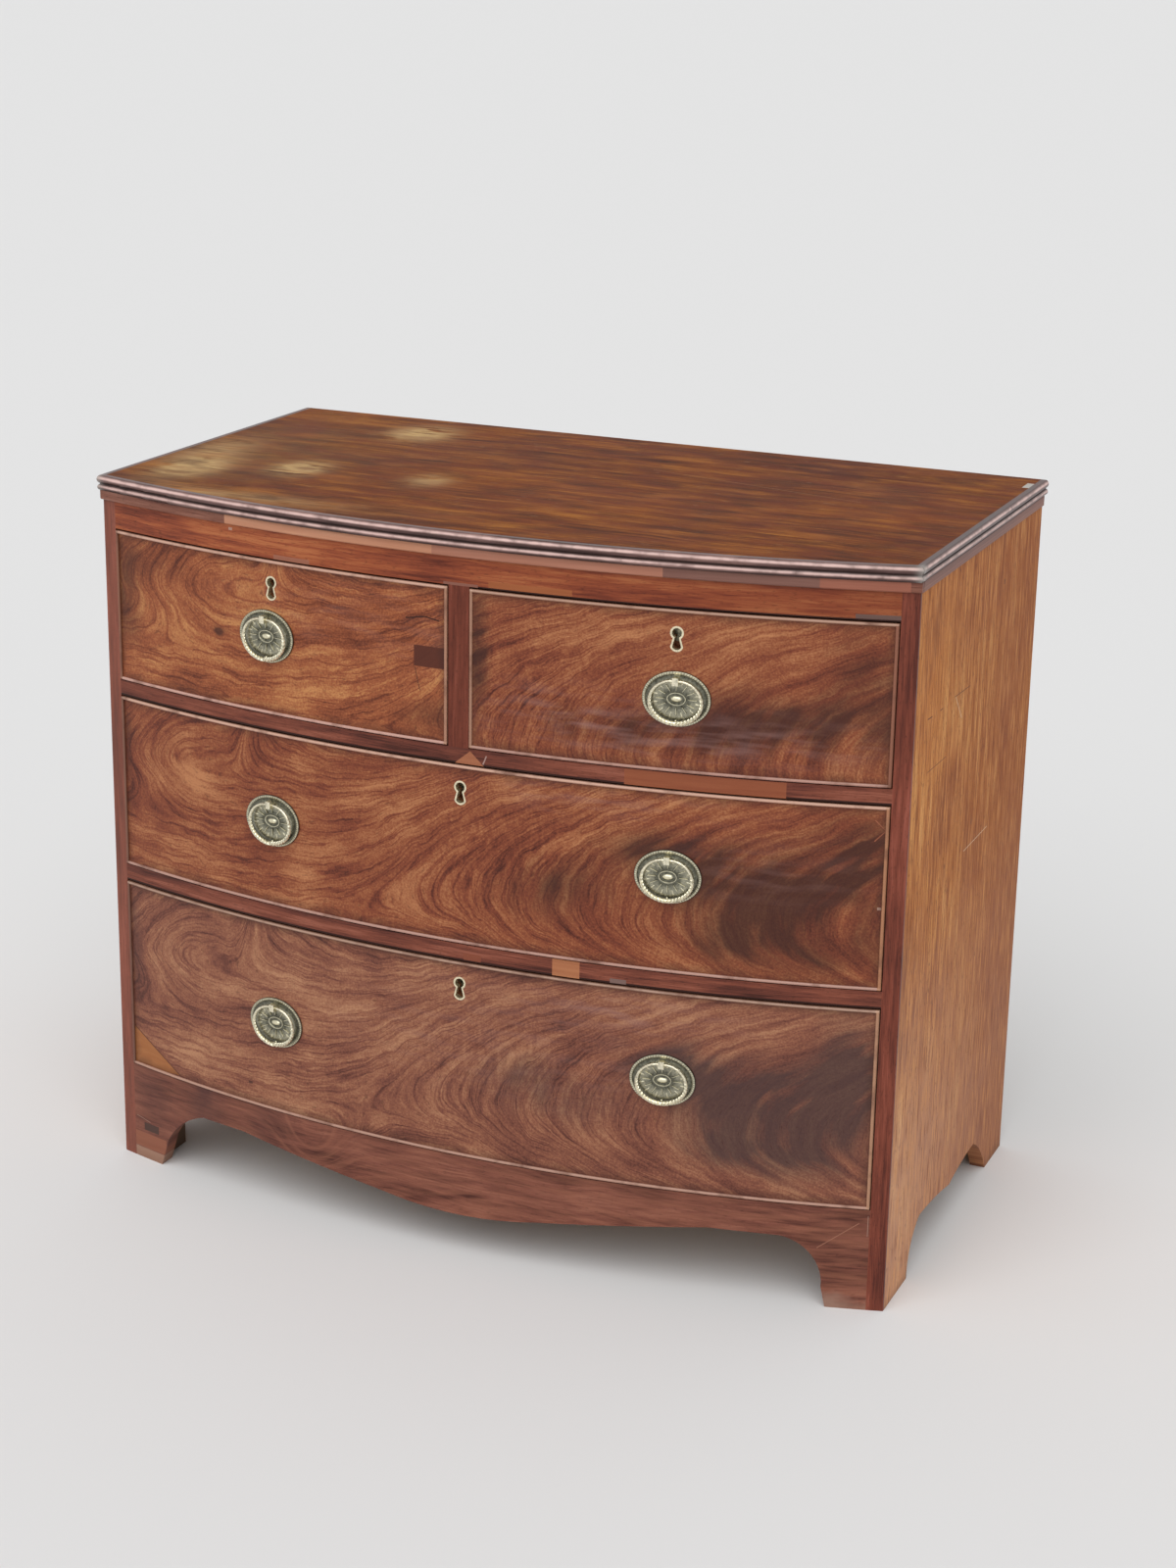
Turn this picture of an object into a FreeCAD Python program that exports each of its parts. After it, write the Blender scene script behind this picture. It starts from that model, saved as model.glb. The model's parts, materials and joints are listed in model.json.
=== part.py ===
import FreeCAD, Part
import math
import os
import Sketcher

# A Georgian mahogany bow front chest: two short drawers over two long ones, on bracket feet
# that are cut from the sides and the apron. Millimetres, +Z up, the front faces -Y. The origin
# is on the floor, under the middle of the whole chest.

doc = FreeCAD.newDocument("BowFrontChest")
sheet = doc.addObject("Spreadsheet::Sheet", "Sizes")


# ---------------------------------------------------------------- driving dimensions

class Size:
    """A number that remembers how it is worked out from the sheet."""

    def __init__(self, value, text):
        self.value = float(value)
        self.text = text

    def __add__(self, other):
        other = as_size(other)
        return Size(self.value + other.value, f"({self.text} + {other.text})")

    def __sub__(self, other):
        other = as_size(other)
        return Size(self.value - other.value, f"({self.text} - {other.text})")

    def __mul__(self, other):
        other = as_size(other)
        return Size(self.value * other.value, f"({self.text} * {other.text})")

    def __truediv__(self, other):
        other = as_size(other)
        return Size(self.value / other.value, f"({self.text} / {other.text})")

    def __radd__(self, other):
        return as_size(other) + self

    def __rsub__(self, other):
        return as_size(other) - self

    def __rmul__(self, other):
        return as_size(other) * self

    def __neg__(self):
        return Size(-self.value, f"(-1 * {self.text})")


def as_size(number):
    if isinstance(number, Size):
        return number
    return Size(number, f"({number})")


def root(size):
    return Size(math.sqrt(size.value), f"sqrt({size.text})")


def sine_angle(size):
    """The angle, in degrees, whose sine is size."""
    return Size(math.degrees(math.asin(size.value)), f"asin({size.text})")


def tangent_angle(size):
    """The angle, in degrees, whose tangent is size."""
    return Size(math.degrees(math.atan(size.value)), f"atan({size.text})")


def driving(alias, value, note):
    """Write one driving dimension into the sheet and hand it back as a Size."""
    driving.row += 1
    sheet.set(f"A{driving.row}", note)
    sheet.set(f"B{driving.row}", str(value))
    sheet.setAlias(f"B{driving.row}", alias)
    return Size(value, f"Sizes.{alias}")


driving.row = 0

# the chest as a whole
overall_height = driving("overall_height", 830, "floor to the upper face of the top")
case_width = driving("case_width", 958, "outside of one side to outside of the other")
case_depth = driving("case_depth", 469, "front corner to back edge of a side")
case_bow = driving("case_bow", 72, "how far the middle of the front stands before the corners")

# the top and its mouldings
top_thickness = driving("top_thickness", 17, "top board")
top_side_overhang = driving("top_side_overhang", 4, "beyond each side")
top_front_overhang = driving("top_front_overhang", 7, "beyond the front corners")
top_back_overhang = driving("top_back_overhang", 8, "beyond the back")
top_extra_bow = driving("top_extra_bow", 3, "the top bows this much more than the case")
top_moulding_width = driving("top_moulding_width", 9, "plan width of the reeded moulding")
upper_reed_height = driving("upper_reed_height", 9.2, "thick upper reed")
reed_groove = driving("reed_groove", 0.8, "flat groove between the reeds")
reed_projection = driving("reed_projection", 3, "reed face before the groove")
band_height = driving("band_height", 11, "plain band under the top")
band_projection = driving("band_projection", 4, "band face before the frieze")
band_side_projection = driving("band_side_projection", 2, "band face beyond the sides")
band_chamfer = driving("band_chamfer", 1.4, "softened lower edge of the band")

# the case
side_thickness = driving("side_thickness", 18, "side boards")
facing_thickness = driving("facing_thickness", 3, "mahogany facing on the front edge of a side")
frieze_height = driving("frieze_height", 42, "frieze rail, up to the top board")
frieze_depth = driving("frieze_depth", 40, "frieze rail, front to back at the sides")
top_row_opening = driving("top_row_opening", 176.5, "height of the short drawers' openings")
middle_row_opening = driving("middle_row_opening", 205.5, "height of the middle drawer's opening")
upper_rail_thickness = driving("upper_rail_thickness", 17.5, "rail under the short drawers")
lower_rail_thickness = driving("lower_rail_thickness", 19, "rail under the middle drawer")
rail_depth = driving("rail_depth", 62, "drawer rails, front to back at the sides")
post_width = driving("post_width", 24, "post between the short drawers")
post_depth = driving("post_depth", 30, "post between the short drawers, front to back")
divider_thickness = driving("divider_thickness", 18, "board behind the post")
back_thickness = driving("back_thickness", 9, "back boards")
back_rebate = driving("back_rebate", 8, "how far the back boards lap on the sides")
back_gap = driving("back_gap", 0.6, "shrinkage gap between back boards")
back_foot_drop = driving("back_foot_drop", 12, "back boards reach below the bottom board")
bottom_thickness = driving("bottom_thickness", 16, "bottom board")
runner_width = driving("runner_width", 46, "drawer runners on the sides")
centre_runner_width = driving("centre_runner_width", 80, "runner under the divider")
dustboard_thickness = driving("dustboard_thickness", 8, "dustboards between the runners")
kicker_width = driving("kicker_width", 22, "kickers over the short drawers")
kicker_height = driving("kicker_height", 30, "kickers over the short drawers")
stop_width = driving("stop_width", 38, "drawer stops, side to side")
stop_depth = driving("stop_depth", 14, "drawer stops, front to back")
stop_height = driving("stop_height", 4, "drawer stops")
stop_gap = driving("stop_gap", 0.4, "shut drawer front to its stop")
stop_offset = driving("stop_offset", 110, "stops from the middle of a drawer")

# the apron and the feet
apron_height = driving("apron_height", 119, "floor to the bottom drawer's opening")
apron_thickness = driving("apron_thickness", 22, "apron board")
apron_drop_height = driving("apron_drop_height", 47, "floor to the apron's lowest point")
apron_drop_half = driving("apron_drop_half", 95, "half the rounded drop in the apron's middle")
apron_drop_round = driving("apron_drop_round", 8.5, "how far that drop is rounded out")
apron_arch_height = driving("apron_arch_height", 81, "floor to the top of the apron's arches")
apron_arch_inner = driving("apron_arch_inner", 290, "middle to where the drop starts")
foot_cusp = driving("foot_cusp", 112, "side of the chest to the cusp over a front foot")
foot_width = driving("foot_width", 61, "front foot, seen from the front")
foot_neck_height = driving("foot_neck_height", 24, "straight inner edge of a front foot")
foot_neck_flare = driving("foot_neck_flare", 5, "how much wider that edge is at its top")
foot_round = driving("foot_round", 14.4, "how far the arch beside a front foot is hollowed")
left_foot_cusp = driving("left_foot_cusp", 130, "the same cusp, on the hand-cut left foot")
left_foot_neck_height = driving("left_foot_neck_height", 36, "left foot's inner edge")
left_foot_neck_flare = driving("left_foot_neck_flare", 12, "how much wider it is at its top")
left_foot_round = driving("left_foot_round", 7, "how far the left arch is hollowed")
side_foot_front = driving("side_foot_front", 84, "front foot, seen from the side")
side_foot_back = driving("side_foot_back", 69, "back foot, seen from the side")
side_arch_height = driving("side_arch_height", 60, "floor to the top of a side's arches")
side_arch_run = driving("side_arch_run", 41, "foot to the top of its arch, along the side")
side_back_arch_height = driving("side_back_arch_height", 56, "floor to the back arch's top")
side_back_arch_run = driving("side_back_arch_run", 59, "back foot to the top of its arch")
side_arch_round = driving("side_arch_round", 12, "how far the front arch is hollowed")
side_back_arch_round = driving("side_back_arch_round", 6.5, "how far the back arch is hollowed")
side_drop_height = driving("side_drop_height", 46, "floor to the lowest point between them")
block_size = driving("block_size", 38, "glue blocks in the feet")
block_gap = driving("block_gap", 3, "foot blocks stop above the floor by this")
small_block = driving("small_block", 24, "glue blocks under the bottom board")
small_block_length = driving("small_block_length", 60, "their length")

# the drawers
drawer_side_gap = driving("drawer_side_gap", 1.2, "drawer front to the case, each side")
drawer_top_gap = driving("drawer_top_gap", 2, "drawer front to the rail above")
drawer_foot_gap = driving("drawer_foot_gap", 1.5, "drawer front to the rail below")
drawer_back_gap = driving("drawer_back_gap", 8, "drawer to the back boards")
running_gap = driving("running_gap", 0.3, "drawer sides to the runners")
front_thickness = driving("front_thickness", 22, "drawer fronts")
bead_width = driving("bead_width", 3, "cock-bead, seen from the front")
bead_projection = driving("bead_projection", 2.4, "cock-bead before the drawer front")
bead_depth = driving("bead_depth", 6.5, "side and lower beads, front to back")
bead_chamfer = driving("bead_chamfer", 0.9, "softened corners of the bead's nose")
drawer_board = driving("drawer_board", 10, "drawer sides and backs")
drawer_side_drop = driving("drawer_side_drop", 4, "drawer sides below the front's top edge")
drawer_back_drop = driving("drawer_back_drop", 6, "drawer backs below the sides")
drawer_bottom_thickness = driving("drawer_bottom_thickness", 7, "drawer bottoms")
drawer_bottom_rise = driving("drawer_bottom_rise", 8, "drawer bottoms above the sides' lower edge")
groove_depth = driving("groove_depth", 5, "groove that holds a drawer bottom")
dovetail_lap = driving("dovetail_lap", 9, "wood left before the dovetails")
dovetail_wide = driving("dovetail_wide", 30, "dovetail at its tip")
dovetail_narrow = driving("dovetail_narrow", 24, "dovetail at its root")
dovetail_end = driving("dovetail_end", 18, "first and last dovetail's middle from the side's edge")

# locks and escutcheons
escutcheon_drop = driving("escutcheon_drop", 31, "drawer's top edge to the escutcheon's middle")
key_head_radius = driving("key_head_radius", 5.2, "round head of the keyhole")
key_head_rise = driving("key_head_rise", 6.4, "head's middle above the escutcheon's middle")
key_waist = driving("key_waist", 2.2, "half the keyhole's waist")
key_base = driving("key_base", 4.8, "half the keyhole's foot")
key_base_drop = driving("key_base_drop", 8.6, "keyhole's foot below the escutcheon's middle")
key_base_round = driving("key_base_round", 3, "how far the foot is rounded out")
thread_width = driving("thread_width", 2, "brass thread round the keyhole")
thread_depth = driving("thread_depth", 6, "brass thread, into the drawer front")
thread_proud = driving("thread_proud", 0.2, "brass thread before the drawer front")
lock_shift = driving("lock_shift", 2.5, "locks to the right of a drawer's middle")
lock_width = driving("lock_width", 62, "lock plate")
lock_height = driving("lock_height", 40, "lock plate")
lock_plate = driving("lock_plate", 2.5, "thickness of the lock plate and selvedge")
lock_case_width = driving("lock_case_width", 46, "lock case")
lock_case_height = driving("lock_case_height", 34, "lock case")
lock_depth = driving("lock_depth", 12, "lock, front to back")
key_pin_radius = driving("key_pin_radius", 1.7, "pin that the key turns on")
key_reach = driving("key_reach", 5, "how far the key enters the lock case")
bolt_width = driving("bolt_width", 22, "lock bolt")
bolt_thickness = driving("bolt_thickness", 6, "lock bolt")
bolt_length = driving("bolt_length", 16.5, "lock bolt")
bolt_gap = driving("bolt_gap", 0.2, "lock bolt to what it slides in")
bolt_sink = driving("bolt_sink", 0.5, "withdrawn bolt below the drawer's top edge")
mortise_depth = driving("mortise_depth", 8, "mortise for the bolt in the rail above")
mortise_gap = driving("mortise_gap", 1, "bolt to its mortise")

# handles
plate_half_width = driving("plate_half_width", 36.5, "oval backplate")
plate_half_height = driving("plate_half_height", 29.7, "oval backplate")
plate_sheet = driving("plate_sheet", 1.2, "brass sheet of the backplate")
plate_rim_width = driving("plate_rim_width", 2.6, "raised rim")
plate_rim_height = driving("plate_rim_height", 2.8, "raised rim before the drawer front")
boss_half_width = driving("boss_half_width", 8, "oval boss at the plate's middle")
boss_half_height = driving("boss_half_height", 5.2, "oval boss at the plate's middle")
boss_height = driving("boss_height", 3.2, "boss before the drawer front")
pivot_rise = driving("pivot_rise", 20, "bail's pivot above the plate's middle")
pivot_standoff = driving("pivot_standoff", 6.5, "bail's pivot before the drawer front")
post_head_width = driving("post_head_width", 6.4, "handle post's head")
post_head_height = driving("post_head_height", 8.4, "handle post's head")
post_head_reach = driving("post_head_reach", 3.2, "post's head before the pivot")
shank_radius = driving("shank_radius", 2, "handle post's shank")
shank_spare = driving("shank_spare", 2, "shank beyond its nut")
nut_width = driving("nut_width", 11, "square nut")
nut_thickness = driving("nut_thickness", 4, "square nut")
nut_gap = driving("nut_gap", 0.05, "nut to the drawer front")
handle_spread = driving("handle_spread", 4, "short drawers' handles outward of the middle")
handle_rise_top_left = driving("handle_rise_top_left", 1, "plate above mid-height")
handle_rise_top_right = driving("handle_rise_top_right", -8, "plate above mid-height")
handle_rise_middle_left = driving("handle_rise_middle_left", -2, "plate above mid-height")
handle_rise_middle_right = driving("handle_rise_middle_right", 6, "plate above mid-height")
handle_rise_bottom_left = driving("handle_rise_bottom_left", -5.5, "plate above mid-height")
handle_rise_bottom_right = driving("handle_rise_bottom_right", 13, "plate above mid-height")
bail_half_width = driving("bail_half_width", 27.6, "middle line of the bail, half its width")
bail_drop = driving("bail_drop", 45, "pivot to the bail's middle line at its lowest")
bail_thin = driving("bail_thin", 1.25, "bail's radius at the pivot")
bail_thick = driving("bail_thick", 2.6, "bail's radius at its lowest")
pivot_gap = driving("pivot_gap", 0.05, "bail's pin to its hole, all round")
pin_half_length = driving("pin_half_length", 4.2, "straight part of the bail, half its length")

doc.recompute()

# ---------------------------------------------------------------- worked out from them

half_case = case_width / 2
inside = half_case - side_thickness
half_top = half_case + top_side_overhang
top_bow = case_bow + top_extra_bow
back_y = (top_back_overhang + case_depth + top_front_overhang + top_bow) / 2
case_back = back_y - top_back_overhang
case_corner = case_back - case_depth
case_nose = case_corner - case_bow
top_corner = case_corner - top_front_overhang
top_nose = top_corner - top_bow
back_inside = case_back - back_thickness
drawer_rear = back_inside - drawer_back_gap

case_top = overall_height - top_thickness
row_1_high = case_top - frieze_height
row_1_low = row_1_high - top_row_opening
row_2_high = row_1_low - upper_rail_thickness
row_2_low = row_2_high - middle_row_opening
row_3_high = row_2_low - lower_rail_thickness
row_3_low = apron_height
bottom_underside = apron_height - bottom_thickness


def bow_radius_of(half_width, bow):
    """Radius of the arc that bows forward by bow over twice half_width."""
    return (half_width * half_width + bow * bow) / (2 * bow)


bow_radius = bow_radius_of(half_case, case_bow)
bow_axis = case_nose + bow_radius
top_radius = bow_radius_of(half_top, top_bow)
top_axis = top_nose + top_radius
MARGIN = 40.0  # how far helper solids reach past what they cut


# ---------------------------------------------------------------- small helpers

def bind(obj, **sizes):
    """Tie properties to the sheet. A double underscore in a name stands for a dot."""
    for name, size in sizes.items():
        obj.setExpression(name.replace("__", "."), as_size(size).text)


def box(name, x, y, z):
    """A block between the two ends given on each axis."""
    block = doc.addObject("Part::Box", name)
    bind(block, Length=x[1] - x[0], Width=y[1] - y[0], Height=z[1] - z[0])
    bind(block, Placement__Base__x=x[0], Placement__Base__y=y[0], Placement__Base__z=z[0])
    return block


def upright_cylinder(name, radius, axis_y, high):
    """A cylinder on a vertical axis that stands on the floor at x = 0."""
    solid = doc.addObject("Part::Cylinder", name)
    bind(solid, Radius=radius, Height=high, Placement__Base__y=axis_y)
    return solid


def rod(name, radius, start, length, along):
    """A cylinder from the point start, along +X or +Y."""
    solid = doc.addObject("Part::Cylinder", name)
    turn = {"x": FreeCAD.Rotation(FreeCAD.Vector(0, 1, 0), 90),
            "y": FreeCAD.Rotation(FreeCAD.Vector(1, 0, 0), -90)}[along]
    solid.Placement = FreeCAD.Placement(FreeCAD.Vector(), turn)
    bind(solid, Radius=radius, Height=length)
    bind(solid, Placement__Base__x=start[0], Placement__Base__y=start[1])
    bind(solid, Placement__Base__z=start[2])
    return solid


def oval_slab(name, half_width, half_height, reach):
    """An oval plate that lies on y = 0 and stands reach before it, towards -Y."""
    curve = doc.addObject("Part::Ellipse", name + "_oval")
    curve.Placement.Rotation = FreeCAD.Rotation(FreeCAD.Vector(1, 0, 0), 90)
    bind(curve, MajorRadius=half_width, MinorRadius=half_height)
    slab = doc.addObject("Part::Extrusion", name)
    slab.Base = curve
    slab.DirMode = "Custom"
    slab.Dir = FreeCAD.Vector(0, -1, 0)
    slab.Solid = True
    bind(slab, LengthFwd=reach)
    return slab


def common(name, first, second):
    both = doc.addObject("Part::Common", name)
    both.Base = first
    both.Tool = second
    return both


def cut(name, base, tool):
    rest = doc.addObject("Part::Cut", name)
    rest.Base = base
    rest.Tool = tool
    return rest


def fuse(name, solids):
    whole = doc.addObject("Part::MultiFuse", name)
    whole.Shapes = solids
    return whole


def group(name, solids):
    """Several separate solids under one name."""
    together = doc.addObject("Part::Compound", name)
    together.Links = solids
    return together


def mirrored(name, source):
    """The same piece on the other side of x = 0."""
    other = doc.addObject("Part::Mirroring", name)
    other.Source = source
    other.Normal = FreeCAD.Vector(1, 0, 0)
    return other


def between_bows(name, block, outer, inner):
    """The part of block that lies inside the outer bow and outside the inner one."""
    return cut(name, common(name + "_face", block, outer), inner)


def softened(name, base, size, picks):
    """Chamfer the edges that picks chooses, by a size from the sheet."""
    doc.recompute()
    soft = doc.addObject("Part::Chamfer", name)
    soft.Base = base
    soft.Edges = [(number + 1, size.value, size.value)
                  for number, edge in enumerate(base.Shape.Edges) if picks(edge)]
    return soft


def seat_on_bow(obj, x, z, proud=0):
    """Stand a piece on the drawer front, square to the bow, at x and z."""
    reach = (bow_radius + proud) / bow_radius
    bind(obj, Placement__Base__x=x * reach)
    bind(obj, Placement__Base__y=bow_axis - root(bow_radius * bow_radius - x * x) * reach)
    bind(obj, Placement__Base__z=z, Placement__Rotation__Angle=sine_angle(x / bow_radius))
    return obj


# ---------------------------------------------------------------- sketches

def new_body(name, plane):
    """A body with one sketch on the origin plane that is named."""
    body = doc.addObject("PartDesign::Body", name)
    sketch = body.newObject("Sketcher::SketchObject", name + "_outline")
    support = [item for item in body.Origin.OriginFeatures if item.Role == plane][0]
    sketch.AttachmentSupport = [(support, "")]
    sketch.MapMode = "FlatFace"
    return body, sketch


def bulged_middle(start, end, bulge):
    """The middle point of an arc that stands bulge to the left of the line start to end."""
    along = end - start
    left = FreeCAD.Vector(-along.y, along.x, 0).normalize()
    return (start + end) * 0.5 + left * bulge


def draw_outline(sketch, corners, bulges=None):
    """Draw a closed outline, each corner tied to the sheet.

    corners are (x, y) pairs of sizes. bulges gives the rise of each side that is an arc, by
    the number of the corner where it starts: positive to the left of the way round.
    """
    bulges = bulges or {}
    spots = [FreeCAD.Vector(as_size(x).value, as_size(y).value, 0) for x, y in corners]
    starts, ends = [], []
    for number, spot in enumerate(spots):
        after = (number + 1) % len(spots)
        if number not in bulges:
            sketch.addGeometry(Part.LineSegment(spot, spots[after]), False)
            starts.append(1)
            ends.append(2)
            continue
        middle = bulged_middle(spot, spots[after], bulges[number].value)
        sketch.addGeometry(Part.Arc(spot, middle, spots[after]), False)
        forwards = sketch.getPoint(number, 1).distanceToPoint(spot) < 1e-6
        starts.append(1 if forwards else 2)
        ends.append(2 if forwards else 1)
    for number in range(len(spots)):
        after = (number + 1) % len(spots)
        sketch.addConstraint(Sketcher.Constraint(
            "Coincident", number, ends[number], after, starts[after]))
    for number, (x, y) in enumerate(corners):
        tie_distance(sketch, "DistanceX", number, starts[number], x, f"across_{number}")
        tie_distance(sketch, "DistanceY", number, starts[number], y, f"up_{number}")
    for number, bulge in bulges.items():
        (x0, y0), (x1, y1) = corners[number], corners[(number + 1) % len(corners)]
        run, rise = as_size(x1) - x0, as_size(y1) - y0
        chord_squared = run * run + rise * rise
        radius = (chord_squared / 4 + bulge * bulge) / (2 * bulge)
        if radius.value < 0:
            radius = -radius
        place = sketch.addConstraint(Sketcher.Constraint("Radius", number, radius.value))
        sketch.renameConstraint(place, f"round_{number}")
        sketch.setExpression(f"Constraints.round_{number}", radius.text)


def tie_distance(sketch, kind, number, end, size, name):
    """Hold one corner of an outline at its distance from the sketch's origin."""
    size = as_size(size)
    if size.value == 0:
        axis = -2 if kind == "DistanceX" else -1
        sketch.addConstraint(Sketcher.Constraint("PointOnObject", number, end, axis))
        return
    place = sketch.addConstraint(Sketcher.Constraint(kind, -1, 1, number, end, size.value))
    sketch.renameConstraint(place, name)
    sketch.setExpression("Constraints." + name, size.text)


def pad(body, sketch, length, backwards=False):
    solid = body.newObject("PartDesign::Pad", sketch.Name + "_pad")
    solid.Profile = sketch
    solid.Reversed = backwards
    bind(solid, Length=length)
    return solid


# ---------------------------------------------------------------- shared bows

def bow(name, reach):
    """The bowed front as a cylinder, reach before the face of the case."""
    return upright_cylinder(name, bow_radius + reach, bow_axis, overall_height)


case_face = bow("case_face", 0)
facing_back = bow("facing_back", -facing_thickness)
apron_back = bow("apron_back", -apron_thickness)
band_face = bow("band_face", band_projection)
bead_nose = bow("bead_nose", bead_projection)
bead_root = bow("bead_root", -bead_depth)
front_back = bow("front_back", -front_thickness)
groove_face = bow("groove_face", groove_depth - front_thickness)

nodes = {}


def keep(name, obj):
    """Name a finished sub-part: the label is the name of its file."""
    obj.Label = name
    nodes[name] = obj
    return obj


# ---------------------------------------------------------------- top

top_inner_radius = top_radius - top_moulding_width
top_inner_half = half_top - top_moulding_width
inner_corner = top_axis - root(top_inner_radius * top_inner_radius
                               - top_inner_half * top_inner_half)


def half_arc_bulge(height, bulge):
    """Rise of each half when an arc over height, standing bulge proud, is split in two."""
    radius = (height * height / 4 + bulge * bulge) / (2 * bulge)
    return radius - root(radius * radius - (height * height / 4 + bulge * bulge) / 4)


def draw_reeds(sketch, inner, face, lower_top):
    """Section of the two reeds, each drawn as two arcs that meet at its nose."""
    upper_low = overall_height - upper_reed_height
    lower_projection = reed_projection * 0.85
    upper_rise = half_arc_bulge(upper_reed_height, reed_projection)
    lower_rise = half_arc_bulge(lower_top - case_top, lower_projection)
    draw_outline(sketch, [
        (inner, case_top), (inner, overall_height), (face, overall_height),
        (face - reed_projection, (overall_height + upper_low) / 2), (face, upper_low),
        (face, lower_top), (face - lower_projection, (lower_top + case_top) / 2),
        (face, case_top)],
        {2: -upper_rise, 3: -upper_rise, 5: -lower_rise, 6: -lower_rise})


def build_top():
    board_block = box("top_board_block", (-top_inner_half, top_inner_half),
                      (top_nose, back_y), (case_top, overall_height))
    board_bow = upright_cylinder("top_board_bow", top_inner_radius, top_axis, overall_height)
    keep("top_board", common("top_board_shape", board_block, board_bow))

    lower_reed_top = overall_height - upper_reed_height - reed_groove
    reed_root = -(half_top - reed_projection)

    # one section serves the sides: drawn across the chest and drawn out from back to front
    body, sketch = new_body("side_reeds", "XZ_Plane")
    draw_reeds(sketch, -top_inner_half, reed_root, lower_reed_top)
    length = back_y - top_nose + MARGIN
    pad(body, sketch, length)
    doc.recompute()
    bind(body, Placement__Base__y=back_y)

    # and the same section turned about the bow's axis serves the front
    turn, profile = new_body("front_reeds", "YZ_Plane")
    nose_root = top_nose + reed_projection
    draw_reeds(profile, top_nose + top_moulding_width, nose_root, lower_reed_top)
    strip = turned_about_bow("front_reeds_turned", profile, top_axis)

    # the mitre runs through the outer and the inner corner of the moulding
    lean = (inner_corner - top_corner) / top_moulding_width
    reach = half_top - MARGIN
    wedge, fence = new_body("mitre_fence", "XY_Plane")
    front_line = top_nose - MARGIN
    draw_outline(fence, [
        (half_top + MARGIN, front_line), (half_top + MARGIN, top_corner - lean * MARGIN),
        (reach, top_corner + lean * MARGIN), (-reach, top_corner + lean * MARGIN),
        (-half_top - MARGIN, top_corner - lean * MARGIN), (-half_top - MARGIN, front_line)])
    pad(wedge, fence, overall_height + MARGIN)

    front = common("front_reeds_mitred", strip, wedge)
    left = cut("left_reeds", body, wedge)
    right = mirrored("right_reeds", left)
    keep("top_edge_moulding", group("top_edge_moulding_shape", [front, left, right]))


def build_band():
    """The plain band under the top: one strip on the front, one on each side."""
    low = case_top - band_height
    wide = half_case + band_side_projection
    across = box("band_block", (-wide, wide), (case_nose - MARGIN, case_corner + MARGIN),
                 (low, case_top))
    front = between_bows("band_front", across, band_face, case_face)
    soft = softened("band_front_soft", front, band_chamfer,
                    lambda edge: on_bow_edge(edge, bow_radius + band_projection, low))
    start = bow_axis - root(bow_radius * bow_radius - half_case * half_case)
    right = box("band_right", (half_case, wide), (start + band_side_projection, case_back),
                (low, case_top))
    keep("under_top_band", group("under_top_band_shape",
                                 [soft, right, mirrored("band_left", right)]))


def on_bow_edge(edge, radius, height=None):
    """True for an arc of that radius about the bow's axis, at that height if one is given."""
    if not isinstance(edge.Curve, Part.Circle):
        return False
    if abs(edge.Curve.Radius - radius.value) > 0.01:
        return False
    return height is None or abs(edge.Vertexes[0].Z - height.value) < 0.01


# ---------------------------------------------------------------- case

def build_sides():
    """Side boards, cut away below between the feet, rebated behind for the back boards."""
    foot_in = case_corner + side_foot_front
    foot_out = case_back - side_foot_back
    middle = (foot_in + foot_out) / 2
    body, sketch = new_body("side_panel", "YZ_Plane")
    draw_outline(sketch, [
        (case_back, 0), (case_back, case_top), (case_nose, case_top), (case_nose, 0),
        (foot_in, 0), (foot_in + side_arch_run, side_arch_height), (middle, side_drop_height),
        (foot_out - side_back_arch_run, side_back_arch_height), (foot_out, 0)],
        {4: side_arch_round, 5: side_arch_round * 0.2, 6: side_arch_round * 0.2,
         7: side_back_arch_round})
    pad(body, sketch, side_thickness)
    doc.recompute()
    bind(body, Placement__Base__x=inside)
    rebate = box("side_rebate", (inside - MARGIN, inside + back_rebate),
                 (back_inside, case_back + MARGIN),
                 (bottom_underside - back_foot_drop, case_top + MARGIN))
    right = cut("side_right_shape", common("side_bowed", body, facing_back), rebate)
    keep("side_right", right)
    keep("side_left", mirrored("side_left_shape", right))

    block = box("facing_block", (inside, half_case), (case_nose, case_corner + MARGIN),
                (0, case_top))
    facing = between_bows("facing_right", block, case_face, facing_back)
    keep("stile_facings", group("stile_facings_shape",
                                [facing, mirrored("facing_left", facing)]))


def build_back():
    count = 4
    wide = inside + back_rebate
    board = (2 * wide - (count + 1) * back_gap) / count
    boards = []
    for number in range(count):
        left = -wide + back_gap + number * (board + back_gap)
        boards.append(box(f"back_board_{number + 1}", (left, left + board),
                          (back_inside, case_back),
                          (bottom_underside - back_foot_drop, case_top)))
    keep("back_boards", group("back_boards_shape", boards))


def mortise(name, drawer):
    """The hole in the rail above a drawer that its lock bolt rises into."""
    hole = box(name + "_hole", bolt_span(mortise_gap), bolt_layers(mortise_gap),
               (drawer_top_gap - mortise_gap, drawer_top_gap + mortise_depth))
    return seat_on_bow(group(name, [hole]), drawer.keyhole, drawer.head)


def bolt_span(gap):
    return (-(bolt_width / 2) - gap, bolt_width / 2 + gap)


def bolt_layers(gap):
    """The bolt's place from front to back: the middle of the lock case."""
    middle = front_thickness - (lock_depth + lock_plate) / 2
    return (middle - bolt_thickness / 2 - gap, middle + bolt_thickness / 2 + gap)


def rail(name, low, high, depth, drawers):
    """A rail with a bowed front and a straight back, mortised for the bolts below it."""
    block = box(name + "_block", (-inside, inside), (case_nose, case_corner + depth),
                (low, high))
    bowed = common(name + "_bowed", block, case_face)
    holes = group(name + "_mortises",
                  [mortise(f"{name}_mortise_{drawer.name}", drawer) for drawer in drawers])
    return keep(name, cut(name + "_shape", bowed, holes))


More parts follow.
